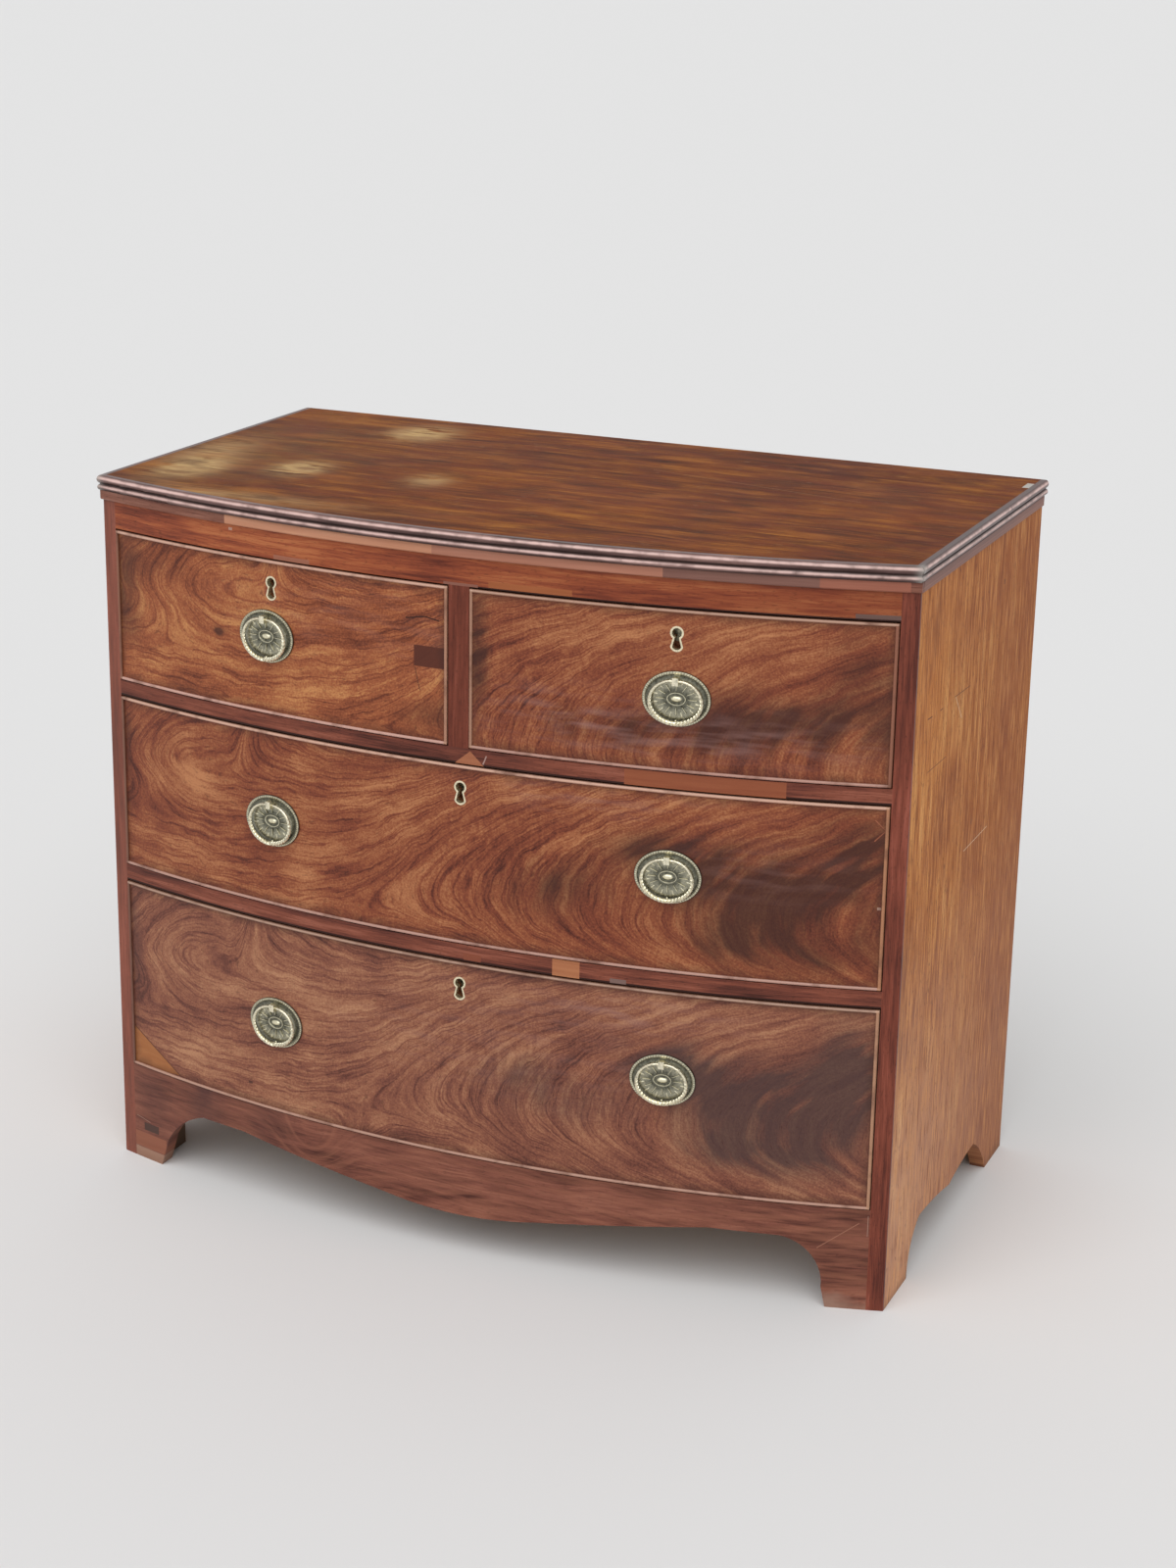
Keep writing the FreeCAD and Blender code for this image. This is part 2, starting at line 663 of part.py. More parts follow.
def build_post():
    block = box("post_block", (-(post_width / 2), post_width / 2),
                (case_nose, case_nose + post_depth), (row_1_low, row_1_high))
    keep("centre_post", common("centre_post_shape", block, case_face))
    low_part = box("divider_low", (-(divider_thickness / 2), divider_thickness / 2),
                   (case_nose + post_depth, back_inside), (row_1_low, row_1_high))
    high_part = box("divider_high", (-(divider_thickness / 2), divider_thickness / 2),
                    (case_corner + frieze_depth, back_inside), (row_1_high, case_top))
    keep("drawer_divider", fuse("drawer_divider_shape", [low_part, high_part]))


def build_floors():
    """Runners, dustboards, kickers and stops: what the drawers slide on and between."""
    behind = case_corner + rail_depth
    levels = {"upper": (row_2_high, row_1_low), "lower": (row_3_high, row_2_low)}
    runners, boards = [], []
    for level, (low, high) in levels.items():
        edge = inside - runner_width
        right = box(f"{level}_runner_right", (edge, inside), (behind, back_inside), (low, high))
        runners += [right, mirrored(f"{level}_runner_left", right)]
        middle = (low + high) / 2
        layer = (middle - dustboard_thickness / 2, middle + dustboard_thickness / 2)
        if level == "upper":
            half = centre_runner_width / 2
            runners.append(box("centre_runner", (-half, half), (behind, back_inside),
                               (low, high)))
            right = box("upper_dustboard_right", (half, edge), (behind, back_inside), layer)
            boards += [right, mirrored("upper_dustboard_left", right)]
        else:
            boards.append(box("lower_dustboard", (-edge, edge), (behind, back_inside), layer))
    kicker = box("kicker_right", (inside - kicker_width, inside),
                 (case_corner + frieze_depth, back_inside),
                 (row_1_high, row_1_high + kicker_height))
    runners += [kicker, mirrored("kicker_left", kicker)]
    keep("drawer_runners", group("drawer_runners_shape", runners))
    keep("dustboards", group("dustboards_shape", boards))


def build_stops(drawers):
    """Two stops for each drawer, glued to the rail just behind the shut front."""
    stops = []
    for drawer in drawers:
        for side, offset in enumerate((-stop_offset, stop_offset)):
            block = box(f"stop_{drawer.name}_{side + 1}_block",
                        (-(stop_width / 2), stop_width / 2),
                        (front_thickness + stop_gap, front_thickness + stop_gap + stop_depth),
                        (0, stop_height))
            stop = group(f"stop_{drawer.name}_{side + 1}", [block])
            stops.append(seat_on_bow(stop, drawer.middle + offset, drawer.low))
    keep("drawer_stops", group("drawer_stops_shape", stops))


def build_base():
    """Bottom board, apron with its bracket feet, and the glue blocks behind them."""
    block = box("bottom_block", (-inside, inside), (case_nose, back_inside),
                (bottom_underside, apron_height))
    keep("bottom_board", common("bottom_board_shape", block, apron_back))

    # the feet were cut by eye, so the left one's arch starts lower and rises more gently
    foot = inside - (foot_width - side_thickness)
    drop = apron_drop_height + apron_drop_round
    left = [(-foot, 0), (left_foot_neck_flare - foot, left_foot_neck_height),
            (left_foot_cusp - half_case, apron_arch_height),
            (-apron_arch_inner, apron_arch_height), (-apron_drop_half, drop)]
    right = [(apron_drop_half, drop), (apron_arch_inner, apron_arch_height),
             (half_case - foot_cusp, apron_arch_height),
             (foot - foot_neck_flare, foot_neck_height), (foot, 0)]
    body, sketch = new_body("apron_panel", "XZ_Plane")
    corners = [(inside, 0), (inside, apron_height), (-inside, apron_height), (-inside, 0)]
    draw_outline(sketch, corners + left + right,
                 {5: left_foot_round, 8: -apron_drop_round, 11: foot_round})
    pad(body, sketch, case_corner - case_nose + 2 * MARGIN)
    doc.recompute()
    bind(body, Placement__Base__y=case_corner + MARGIN)
    keep("apron", between_bows("apron_shape", body, case_face, apron_back))

    under = bottom_underside
    front_foot_y = bow_axis - root((bow_radius - apron_thickness) * (bow_radius - apron_thickness)
                                   - (inside - block_size) * (inside - block_size))
    corner = common("front_foot_block", apron_back,
                    box("front_foot_square", (inside - block_size, inside),
                        (case_nose, front_foot_y + block_size), (block_gap, under)))
    rear = box("back_foot_block", (inside - block_size, inside),
               (back_inside - block_size, back_inside), (block_gap, under))
    long_block = box("side_glue_block", (inside - small_block, inside),
                     (-(small_block_length / 2), small_block_length / 2),
                     (under - small_block, under))
    blocks = [corner, rear, long_block]
    blocks += [mirrored(piece.Name + "_left", piece) for piece in blocks]
    # along the apron, each block square to the bow
    for number, place in enumerate((-0.4, 0, 0.4)):
        piece = box(f"apron_block_{number + 1}_square",
                    (-(small_block_length / 2), small_block_length / 2),
                    (0, apron_thickness + small_block), (-small_block, 0))
        holder = seat_on_bow(group(f"apron_block_{number + 1}_placed", [piece]),
                             inside * place, under)
        blocks.append(common(f"apron_block_{number + 1}", holder, apron_back))
    keep("glue_blocks", group("glue_blocks_shape", blocks))


# ---------------------------------------------------------------- locks

def keyhole_outline(sketch, grow):
    """A keyhole outline: round head, waist, flared and rounded foot, grown by grow."""
    waist = key_waist + grow
    head = key_head_radius + grow
    waist_z = key_head_rise - root(head * head - waist * waist)
    base = key_base + grow
    base_z = -key_base_drop
    draw_outline(sketch, [(waist, waist_z), (-waist, waist_z), (-base, base_z), (base, base_z)],
                 {0: -(key_head_rise + head - waist_z), 2: -(key_base_round + grow)})


def keyhole_prism(name, grow, proud, depth):
    """A solid keyhole, from proud before the drawer front to depth behind it."""
    body, sketch = new_body(name, "XZ_Plane")
    keyhole_outline(sketch, grow)
    pad(body, sketch, proud + depth, backwards=True)
    doc.recompute()
    holder = group(name + "_placed", [body])
    bind(body, Placement__Base__y=-proud)
    return holder


def build_lock(drawer):
    """Lock, bolt and escutcheon of one drawer. Local origin: the drawer's top edge."""
    name = drawer.name
    z = -escutcheon_drop
    lock_front = front_thickness - lock_depth
    key_z = z + key_head_rise

    outer = keyhole_prism(name + "_thread", thread_width, thread_proud, thread_depth)
    hole = keyhole_prism(name + "_keyhole", as_size(0), thread_proud + MARGIN,
                         lock_front + key_reach)
    for prism in (outer, hole):
        bind(prism, Placement__Base__z=z)
    ring = cut(name + "_ring", outer, hole)
    seat_on_bow(ring, drawer.keyhole, drawer.head)
    keep(name + "_escutcheon", ring)

    selvedge_top = -bead_width
    plate = box(name + "_lock_plate", (-(lock_width / 2), lock_width / 2),
                (front_thickness - lock_plate, front_thickness),
                (selvedge_top - lock_height, selvedge_top))
    case = box(name + "_lock_body", (-(lock_case_width / 2), lock_case_width / 2),
               (lock_front, front_thickness),
               (selvedge_top - lock_case_height, selvedge_top))
    selvedge = box(name + "_lock_selvedge", (-(lock_width / 2), lock_width / 2),
                   (lock_front, front_thickness), (selvedge_top - lock_plate, selvedge_top))
    blank = fuse(name + "_lock_blank", [plate, case, selvedge])
    channel = box(name + "_bolt_channel", bolt_span(bolt_gap), bolt_layers(bolt_gap),
                  (-bolt_sink - bolt_length - bolt_gap, drawer_top_gap))
    pin = rod(name + "_key_pin", key_pin_radius, (0, lock_front, key_z), key_reach, "y")
    hollow = cut(name + "_lock_hollow", blank, group(name + "_lock_cuts", [channel, hole]))
    lock = fuse(name + "_lock_shape", [hollow, pin])
    seat_on_bow(lock, drawer.keyhole, drawer.head)
    keep(name + "_lock", lock)

    bolt = group(name + "_lock_bolt_shape", [
        box(name + "_bolt", bolt_span(0), bolt_layers(0), (-bolt_sink - bolt_length, -bolt_sink))])
    seat_on_bow(bolt, drawer.keyhole, drawer.head)
    keep(name + "_lock_bolt", bolt)

    # what the lock takes out of the drawer front and its top bead, open to the back
    way_in = box(name + "_lock_way_in", (-(lock_width / 2), lock_width / 2),
                 (front_thickness - lock_plate, front_thickness + lock_depth),
                 (selvedge_top - lock_height, selvedge_top))
    recess = group(name + "_lock_recess", [fuse(name + "_recess_all",
                                                [blank, way_in, outer, hole, channel])])
    seat_on_bow(recess, drawer.keyhole, drawer.head)
    return recess


# ---------------------------------------------------------------- handles

def build_handle(name, x, z, bail_name):
    """One handle: backplate, post with its nut, and bail. Returns the fixed pieces."""
    shank_start = -plate_sheet
    shank_end = front_thickness + nut_gap + nut_thickness + shank_spare
    shank = rod(name + "_shank", shank_radius, (0, shank_start, pivot_rise),
                shank_end - shank_start, "y")
    head_low = pivot_rise - post_head_height / 2
    head = box(name + "_head", (-(post_head_width / 2), post_head_width / 2),
               (-pivot_standoff - post_head_reach, shank_start),
               (head_low, head_low + post_head_height))
    eye = rod(name + "_eye", bail_thin + pivot_gap, (-MARGIN, -pivot_standoff, pivot_rise),
              as_size(2 * MARGIN), "x")
    post = cut(name + "_post", fuse(name + "_post_blank", [head, shank]), eye)
    nut_low = front_thickness + nut_gap
    nut_block = box(name + "_nut_block", (-(nut_width / 2), nut_width / 2),
                    (nut_low, nut_low + nut_thickness),
                    (pivot_rise - nut_width / 2, pivot_rise + nut_width / 2))
    nut = cut(name + "_nut", nut_block, shank)

    sheet_oval = oval_slab(name + "_sheet", plate_half_width, plate_half_height, plate_sheet)
    rim_oval = oval_slab(name + "_rim", plate_half_width, plate_half_height, plate_rim_height)
    field = oval_slab(name + "_field", plate_half_width - plate_rim_width,
                      plate_half_height - plate_rim_width, plate_rim_height)
    boss = oval_slab(name + "_boss", boss_half_width, boss_half_height, boss_height)
    rim = cut(name + "_rim_ring", rim_oval, field)
    plate = cut(name + "_plate", fuse(name + "_plate_blank", [sheet_oval, rim, boss]), shank)

    bail = build_bail(name)
    shank_hole = group(name + "_shank_hole", [shank])
    for piece in (post, nut, plate, shank_hole):
        seat_on_bow(piece, x, z)
    seat_on_bow(bail, x, z + pivot_rise, pivot_standoff)
    keep(bail_name, bail)
    return plate, post, nut, shank_hole


def build_bail(name):
    """A ring that thickens downwards, hung on a straight pin. Local origin: the pivot."""
    half_drop = bail_drop / 2
    first = doc.addObject("Part::Circle", name + "_bail_start")
    first.Placement.Rotation = FreeCAD.Rotation(FreeCAD.Vector(0, 1, 0), 90)
    bind(first, Radius=bail_thin, Placement__Base__x=pin_half_length)
    sections = [first]
    steps = 9
    for step in range(1, steps + 1):
        angle = math.radians(180.0 * step / steps)
        section = doc.addObject("Part::Circle", f"{name}_bail_{step}")
        section.Placement.Rotation = FreeCAD.Rotation(FreeCAD.Vector(0, 1, 0), 180)
        swell = (1 - math.cos(angle)) / 2
        turn = as_size(270)
        if step < steps:
            slope = bail_half_width / half_drop * (math.cos(angle) / math.sin(angle))
            turn = Size(180, "180 deg") - tangent_angle(slope)
        bind(section, Radius=bail_thin + (bail_thick - bail_thin) * swell)
        bind(section, Placement__Base__x=bail_half_width * math.sin(angle))
        bind(section, Placement__Base__z=half_drop * (math.cos(angle) - 1))
        bind(section, Placement__Rotation__Angle=turn)
        sections.append(section)
    half = doc.addObject("Part::Loft", name + "_bail_half")
    half.Sections = sections
    half.Solid = True
    pin = rod(name + "_bail_pin", bail_thin, (-pin_half_length, 0, 0), 2 * pin_half_length, "x")
    return fuse(name + "_bail", [half, mirrored(name + "_bail_other_half", half), pin])


# ---------------------------------------------------------------- drawers

class Drawer:
    """One drawer's opening in the case, and the places that follow from it."""

    def __init__(self, name, left, right, low, high, handles, tails):
        self.name = name
        self.left = left + drawer_side_gap
        self.right = right - drawer_side_gap
        self.low = low
        self.high = high
        self.foot = low + drawer_foot_gap
        self.head = high - drawer_top_gap
        self.middle = (left + right) / 2
        self.keyhole = self.middle + lock_shift
        self.handles = handles
        self.handle_z = (low + high) / 2
        self.tails = tails


def bead_strip(name, x, z, lean):
    """A mitred strip. lean names the edge of the drawer that the strip lies on."""
    strip = doc.addObject("Part::Wedge", name)
    deep = (case_nose - MARGIN, case_corner + MARGIN)
    if lean in ("top", "foot"):
        # local Y runs up the chest and local Z towards the front
        strip.Placement.Rotation = FreeCAD.Rotation(FreeCAD.Vector(1, 0, 0), 90)
        wide, short = (x[0], x[1]), (x[0] + bead_width, x[1] - bead_width)
        near, far = (wide, short) if lean == "foot" else (short, wide)
        bind(strip, Xmin=near[0], Xmax=near[1], X2min=far[0], X2max=far[1])
        bind(strip, Ymin=z[0], Ymax=z[1])
        bind(strip, Zmin=-deep[1], Zmax=-deep[0], Z2min=-deep[1], Z2max=-deep[0])
        return strip
    # local Y runs across the chest and local X towards the front
    strip.Placement.Rotation = FreeCAD.Rotation(FreeCAD.Vector(0, 0, 1), -90)
    wide, short = (z[0], z[1]), (z[0] + bead_width, z[1] - bead_width)
    near, far = (wide, short) if lean == "left" else (short, wide)
    bind(strip, Xmin=-deep[1], Xmax=-deep[0], X2min=-deep[1], X2max=-deep[0])
    bind(strip, Ymin=x[0], Ymax=x[1])
    bind(strip, Zmin=near[0], Zmax=near[1], Z2min=far[0], Z2max=far[1])
    return strip


def on_nose(edge):
    """True for an upright edge at the bead's nose."""
    nose = (bow_radius + bead_projection).value
    reaches = [math.hypot(vertex.X, vertex.Y - bow_axis.value) for vertex in edge.Vertexes]
    if len(reaches) < 2 or max(abs(reach - nose) for reach in reaches) > 0.01:
        return False
    return math.hypot(edge.Vertexes[0].X - edge.Vertexes[1].X,
                      edge.Vertexes[0].Y - edge.Vertexes[1].Y) < 0.01


def turned_about_bow(name, profile, axis_y):
    """A section turned about the bow's axis, to both sides of the middle."""
    turned = doc.addObject("Part::Revolution", name)
    turned.Source = profile
    turned.Axis = FreeCAD.Vector(0, 0, 1)
    turned.Symmetric = True
    turned.Solid = True
    turned.Angle = 60
    bind(turned, Base__y=axis_y)
    return turned


def turned_bead(name, up, depth):
    """A level bead with a softened nose, before it is cut to length."""
    body, sketch = new_body(name + "_section", "YZ_Plane")
    low, high = up
    nose = case_nose - bead_projection
    draw_outline(sketch, [
        (case_nose + depth, low), (case_nose + depth, high), (nose + bead_chamfer, high),
        (nose, high - bead_chamfer), (nose, low + bead_chamfer), (nose + bead_chamfer, low)])
    return turned_about_bow(name, sketch, bow_axis)


def build_beads(drawer, recess):
    """The cock-bead: the top strip covers the front's whole edge, the others are let in."""
    name = drawer.name
    x, z = (drawer.left, drawer.right), (drawer.foot, drawer.head)
    places = {
        "top": (x, (drawer.head - bead_width, drawer.head)),
        "foot": (x, (drawer.foot, drawer.foot + bead_width)),
        "left": ((drawer.left, drawer.left + bead_width), z),
        "right": ((drawer.right - bead_width, drawer.right), z)}
    strips = []
    for lean, (across, up) in places.items():
        wedge = bead_strip(f"{name}_bead_{lean}_wedge", across, up, lean)
        if lean in ("left", "right"):
            strip = between_bows(f"{name}_bead_{lean}", wedge, bead_nose, bead_root)
            strip = softened(f"{name}_bead_{lean}_soft", strip, bead_chamfer, on_nose)
        else:
            depth = front_thickness if lean == "top" else bead_depth
            ring = turned_bead(f"{name}_bead_{lean}_ring", up, depth)
            strip = common(f"{name}_bead_{lean}", ring, wedge)
        if lean == "top":
            strip = cut(f"{name}_bead_top_slotted", strip, recess)
        strips.append(strip)
    keep(name + "_cockbead", group(name + "_cockbead_shape", strips))


def bow_at(radius, x):
    """Where a bow of that radius lies at x."""
    return bow_axis - root(radius * radius - x * x)


def build_drawer_side(drawer, edge, outer, inner, bottom):
    """One side board, with dovetails that enter the drawer front from behind."""
    name = f"{drawer.name}_{edge}_side"
    low, high = drawer.low + running_gap, drawer.head - drawer_side_drop
    x = (outer, inner) if outer.value < inner.value else (inner, outer)
    block = box(name + "_block", x, (case_nose, drawer_rear), (low, high))
    board = common(name + "_board", block, front_back)
    middle = (outer + inner) / 2
    tip = bow_at(bow_radius - dovetail_lap, middle)
    stem = bow_at(bow_radius - front_thickness, middle) + drawer_board
    pitch = (high - low - 2 * dovetail_end) / (drawer.tails - 1)
    tails = []
    for number in range(drawer.tails):
        centre = low + dovetail_end + pitch * number
        tail = doc.addObject("Part::Wedge", f"{name}_tail_{number + 1}")
        bind(tail, Xmin=x[0], Xmax=x[1], X2min=x[0], X2max=x[1], Ymin=tip, Ymax=stem)
        bind(tail, Zmin=centre - dovetail_wide / 2, Zmax=centre + dovetail_wide / 2)
        bind(tail, Z2min=centre - dovetail_narrow / 2, Z2max=centre + dovetail_narrow / 2)
        tails.append(tail)
    whole = fuse(name + "_whole", [board] + tails)
    return cut(name, whole, bottom), group(name + "_tails", tails)


def build_drawer(drawer):
    name = drawer.name
    recess = build_lock(drawer)
    build_beads(drawer, recess)

    panel_low = drawer.low + running_gap + drawer_bottom_rise
    panel_high = panel_low + drawer_bottom_thickness
    lip = drawer_board - groove_depth
    panel = box(name + "_bottom_block", (drawer.left + lip, drawer.right - lip),
                (case_nose, drawer_rear), (panel_low, panel_high))
    bottom = keep(name + "_bottom", common(name + "_bottom_shape", panel, groove_face))

    left, left_tails = build_drawer_side(drawer, "left", drawer.left,
                                         drawer.left + drawer_board, bottom)
    right, right_tails = build_drawer_side(drawer, "right", drawer.right,
                                           drawer.right - drawer_board, bottom)
    back = box(name + "_back", (drawer.left + drawer_board, drawer.right - drawer_board),
               (drawer_rear - drawer_board, drawer_rear),
               (panel_high, drawer.head - drawer_side_drop - drawer_back_drop))
    keep(name + "_sides_and_back", group(name + "_sides_and_back_shape", [left, right, back]))

    plates, posts, shanks = [], [], []
    for side, (x, rise) in drawer.handles.items():
        bail_name = name.replace("drawer", "bail") + ("_" + side if side else "")
        plate, post, nut, shank = build_handle(f"{name}_handle_{side or 'centre'}", x,
                                               drawer.handle_z + rise, bail_name)
        plates.append(plate)
        posts += [post, nut]
        shanks.append(shank)
    keep(name + "_handle_plates", group(name + "_handle_plates_shape", plates))
    keep(name + "_handle_posts", group(name + "_handle_posts_shape", posts))

    # the face stops short of the beads, and the wood behind them runs out to the edges
    deep = (case_nose - MARGIN, case_corner + MARGIN)
    face = box(name + "_face_block", (drawer.left + bead_width, drawer.right - bead_width),
               deep, (drawer.foot + bead_width, drawer.head - bead_width))
    core = box(name + "_core_block", (drawer.left, drawer.right),
               deep, (drawer.foot, drawer.head - bead_width))
    body = fuse(name + "_front_blank", [
        between_bows(name + "_face_layer", face, case_face, bead_root),
        between_bows(name + "_core_layer", core, bead_root, front_back)])
    for number, tool in enumerate([left_tails, right_tails, bottom, recess] + shanks):
        body = cut(f"{name}_front_cut_{number + 1}", body, tool)
    keep(name + "_front", body)


handle_x = (inside + post_width / 2) / 2
drawers = [
    Drawer("drawer_top_left", -inside, -(post_width / 2), row_1_low, row_1_high,
           {"": (-handle_x - handle_spread, handle_rise_top_left)}, 4),
    Drawer("drawer_top_right", post_width / 2, inside, row_1_low, row_1_high,
           {"": (handle_x + handle_spread, handle_rise_top_right)}, 4),
    Drawer("drawer_middle", -inside, inside, row_2_low, row_2_high,
           {"left": (-handle_x, handle_rise_middle_left),
            "right": (handle_x, handle_rise_middle_right)}, 5),
    Drawer("drawer_bottom", -inside, inside, row_3_low, row_3_high,
           {"left": (-handle_x, handle_rise_bottom_left),
            "right": (handle_x, handle_rise_bottom_right)}, 5),
]

build_top()
build_band()
build_sides()
build_back()
rail("frieze_rail", row_1_high, case_top, frieze_depth, drawers[:2])
rail("upper_drawer_rail", row_2_high, row_1_low, rail_depth, drawers[2:3])
rail("lower_drawer_rail", row_3_high, row_2_low, rail_depth, drawers[3:])
build_post()
build_floors()
build_stops(drawers)
build_base()
for each in drawers:
    build_drawer(each)

# ---------------------------------------------------------------- check and write

doc.recompute()
for obj in doc.Objects:
    if "Invalid" in obj.State or "Error" in obj.State:
        raise RuntimeError(f"{obj.Name} failed: {obj.State}")
os.makedirs("parts", exist_ok=True)
for name, obj in nodes.items():
    shape = obj.Shape
    if shape.isNull() or not shape.isValid() or not shape.Solids:
        raise RuntimeError(f"{name} is not a valid solid")
for name, obj in nodes.items():
    obj.Shape.exportStep(f"parts/{name}.step")
print(len(nodes), "sub-parts written")
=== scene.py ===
import json
import math

import bpy
from mathutils import Matrix, Vector

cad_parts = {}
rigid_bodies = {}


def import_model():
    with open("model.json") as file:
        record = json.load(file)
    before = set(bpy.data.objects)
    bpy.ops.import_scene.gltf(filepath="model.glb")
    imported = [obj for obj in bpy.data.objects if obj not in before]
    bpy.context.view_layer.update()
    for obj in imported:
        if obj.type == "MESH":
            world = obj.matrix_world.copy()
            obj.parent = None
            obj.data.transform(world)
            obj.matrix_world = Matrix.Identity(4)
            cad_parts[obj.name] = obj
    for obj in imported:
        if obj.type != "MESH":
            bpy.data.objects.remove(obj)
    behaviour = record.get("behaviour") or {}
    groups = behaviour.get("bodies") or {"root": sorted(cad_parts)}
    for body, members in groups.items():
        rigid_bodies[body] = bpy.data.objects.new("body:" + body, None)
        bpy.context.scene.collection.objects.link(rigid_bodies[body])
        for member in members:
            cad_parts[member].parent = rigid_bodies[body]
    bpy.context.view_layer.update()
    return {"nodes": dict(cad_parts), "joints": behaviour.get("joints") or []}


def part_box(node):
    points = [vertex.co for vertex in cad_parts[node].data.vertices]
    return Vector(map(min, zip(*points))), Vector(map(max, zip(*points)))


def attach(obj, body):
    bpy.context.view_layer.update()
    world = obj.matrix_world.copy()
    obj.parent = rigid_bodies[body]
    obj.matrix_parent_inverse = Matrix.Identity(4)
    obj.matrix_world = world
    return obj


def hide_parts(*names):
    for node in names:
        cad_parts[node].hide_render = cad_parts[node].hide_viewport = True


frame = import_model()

MM = 0.001

# Patterns are drawn in millimetres. The front is an arc in plan, and these are how far its centre
# lies behind the chest's middle, and its radius.
BOW_AXIS = 1359.84
BOW_RADIUS = 1629.34
VENEER_THICKNESS = 1.5
# The side beads lie within this of a drawer front's edges.
BEAD_STRIP = 3.4
# Old wax reaches this far in from those edges.
GRIME_REACH = 13
# The back's four boards are this far apart, about the middle.
BACK_BOARD = 235

# A colour Mix node's two colours and its result. Inputs elsewhere are numbered too: a Math
# node's 0, 1 and 2, and a Map Range's 1 to 4, which are From Min, From Max, To Min and To Max.
MIX_A, MIX_B, MIXED = 6, 7, 2


# ---------------- materials: groundwork

def row_edges(row):
    """The left, right, low and high edges of a drawer's front with its beads."""
    low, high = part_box(f"drawer_{row}_cockbead")
    return [round(edge / MM, 1) for edge in (low.x, high.x, low.z, high.z)]


def linear(code):
    """An sRGB hex colour as the linear colour that a shader takes."""
    channels = [int(code[i:i + 2], 16) / 255 for i in (1, 3, 5)]
    return [c / 12.92 if c <= 0.04045 else ((c + 0.055) / 1.055) ** 2.4 for c in channels] + [1]


def give(tree, socket, value):
    """Gives an input a value, another socket, or a node's first output."""
    if isinstance(value, bpy.types.Node):
        value = value.outputs[0]
    if isinstance(value, bpy.types.NodeSocket):
        tree.links.new(value, socket)
    else:
        socket.default_value = value


def add(tree, kind, links=None, stops=None, **settings):
    """Adds a node with its settings. links fills its inputs, stops are a ramp's colours."""
    new = tree.nodes.new("ShaderNode" + kind)
    for name, value in settings.items():
        setattr(new, name, value)
    for key, value in (links or {}).items():
        give(tree, new.inputs[key], value)
    if stops:
        ramp = new.color_ramp.elements
        while len(ramp) < len(stops):
            ramp.new(0.5)
        for element, (position, code) in zip(ramp, stops):
            element.position = position
            element.color = linear(code)
    return new


def new_material(name, **shader):
    """A named material; shader gives constants to the Principled shader's own sockets."""
    material = bpy.data.materials.new(name)
    material.use_nodes = True
    tree = material.node_tree
    principled = tree.nodes["Principled BSDF"]
    for socket, value in shader.items():
        principled.inputs[socket.replace("_", " ")].default_value = value
    return material, tree, principled


def wire(tree, principled, colour, rough, relief, strength, depth):
    """Gives a shader its colour, its roughness, and bumps whose depth is in millimetres."""
    bump = add(tree, "Bump", {"Height": relief, "Strength": strength, "Distance": depth * MM})
    give(tree, principled.inputs["Base Color"], colour)
    give(tree, principled.inputs["Roughness"], rough)
    give(tree, principled.inputs["Normal"], bump)


class Place:
    """Where a shaded point is, in millimetres: sockets x, y and z, and vector for all three."""

    def __init__(self, tree):
        metres = add(tree, "TexCoord").outputs["Object"]
        self.vector = add(tree, "VectorMath", {0: metres, 3: 1 / MM}, operation="SCALE").outputs[0]
        self.x, self.y, self.z = add(tree, "SeparateXYZ", {0: self.vector}).outputs


def weigh(tree, base, *parts):
    """base plus each part's departure from a half, times its weight."""
    total = base
    for part, weight in parts:
        total = add(tree, "Math", {0: part, 1: weight, 2: total}, operation="MULTIPLY_ADD")
    middle = sum(weight for part, weight in parts) / 2
    return add(tree, "Math", {0: total, 1: middle}, operation="SUBTRACT")


def grain(tree, height, along, up, pitch, reach, detail=2):
    """Streaks that follow the lines of equal height: pitch apart, fading over reach."""
    rise = add(tree, "Math", {0: height, 1: 1 / pitch}, operation="MULTIPLY")
    run = add(tree, "Math", {0: along, 1: 1 / reach}, operation="MULTIPLY")
    lift = add(tree, "Math", {0: up, 1: 1 / reach}, operation="MULTIPLY")
    vector = add(tree, "CombineXYZ", {0: rise, 1: run, 2: lift})
    return add(tree, "TexNoise", {"Vector": vector, "Scale": 1, "Detail": detail})


def blotches(tree, place, size, detail=2):
    """Noise in round blotches of a size, or with a size for x, y and z, of which 0 is endless."""
    vector = place.vector
    if isinstance(size, tuple):
        scale = [1 / length if length else 0 for length in size]
        vector = add(tree, "VectorMath", {0: vector, 1: scale}, operation="MULTIPLY")
        size = 1
    return add(tree, "TexNoise", {"Vector": vector, "Scale": 1 / size, "Detail": detail})


def bell(tree, along, up, middle, size):
    """One at the middle of a soft oval spot, falling away over its size."""
    flat = add(tree, "CombineXYZ", {0: along, 1: up})
    offset = add(tree, "VectorMath", {0: flat, 1: (*middle, 0)}, operation="SUBTRACT")
    offset = add(tree, "VectorMath", {0: offset, 1: (1 / size[0], 1 / size[1], 0)},
                 operation="MULTIPLY")
    square = add(tree, "VectorMath", {0: offset, 1: offset}, operation="DOT_PRODUCT")
    falling = add(tree, "Math", {0: square.outputs["Value"], 1: -1}, operation="MULTIPLY")
    return add(tree, "Math", {0: falling}, operation="EXPONENT")


def bells(tree, along, up, spots):
    """Soft spots added up, each (strength, (x, z), (width, height))."""
    total = 0.0
    for strength, middle, size in spots:
        spot = bell(tree, along, up, middle, size)
        total = add(tree, "Math", {0: spot, 1: strength, 2: total}, operation="MULTIPLY_ADD")
    return total


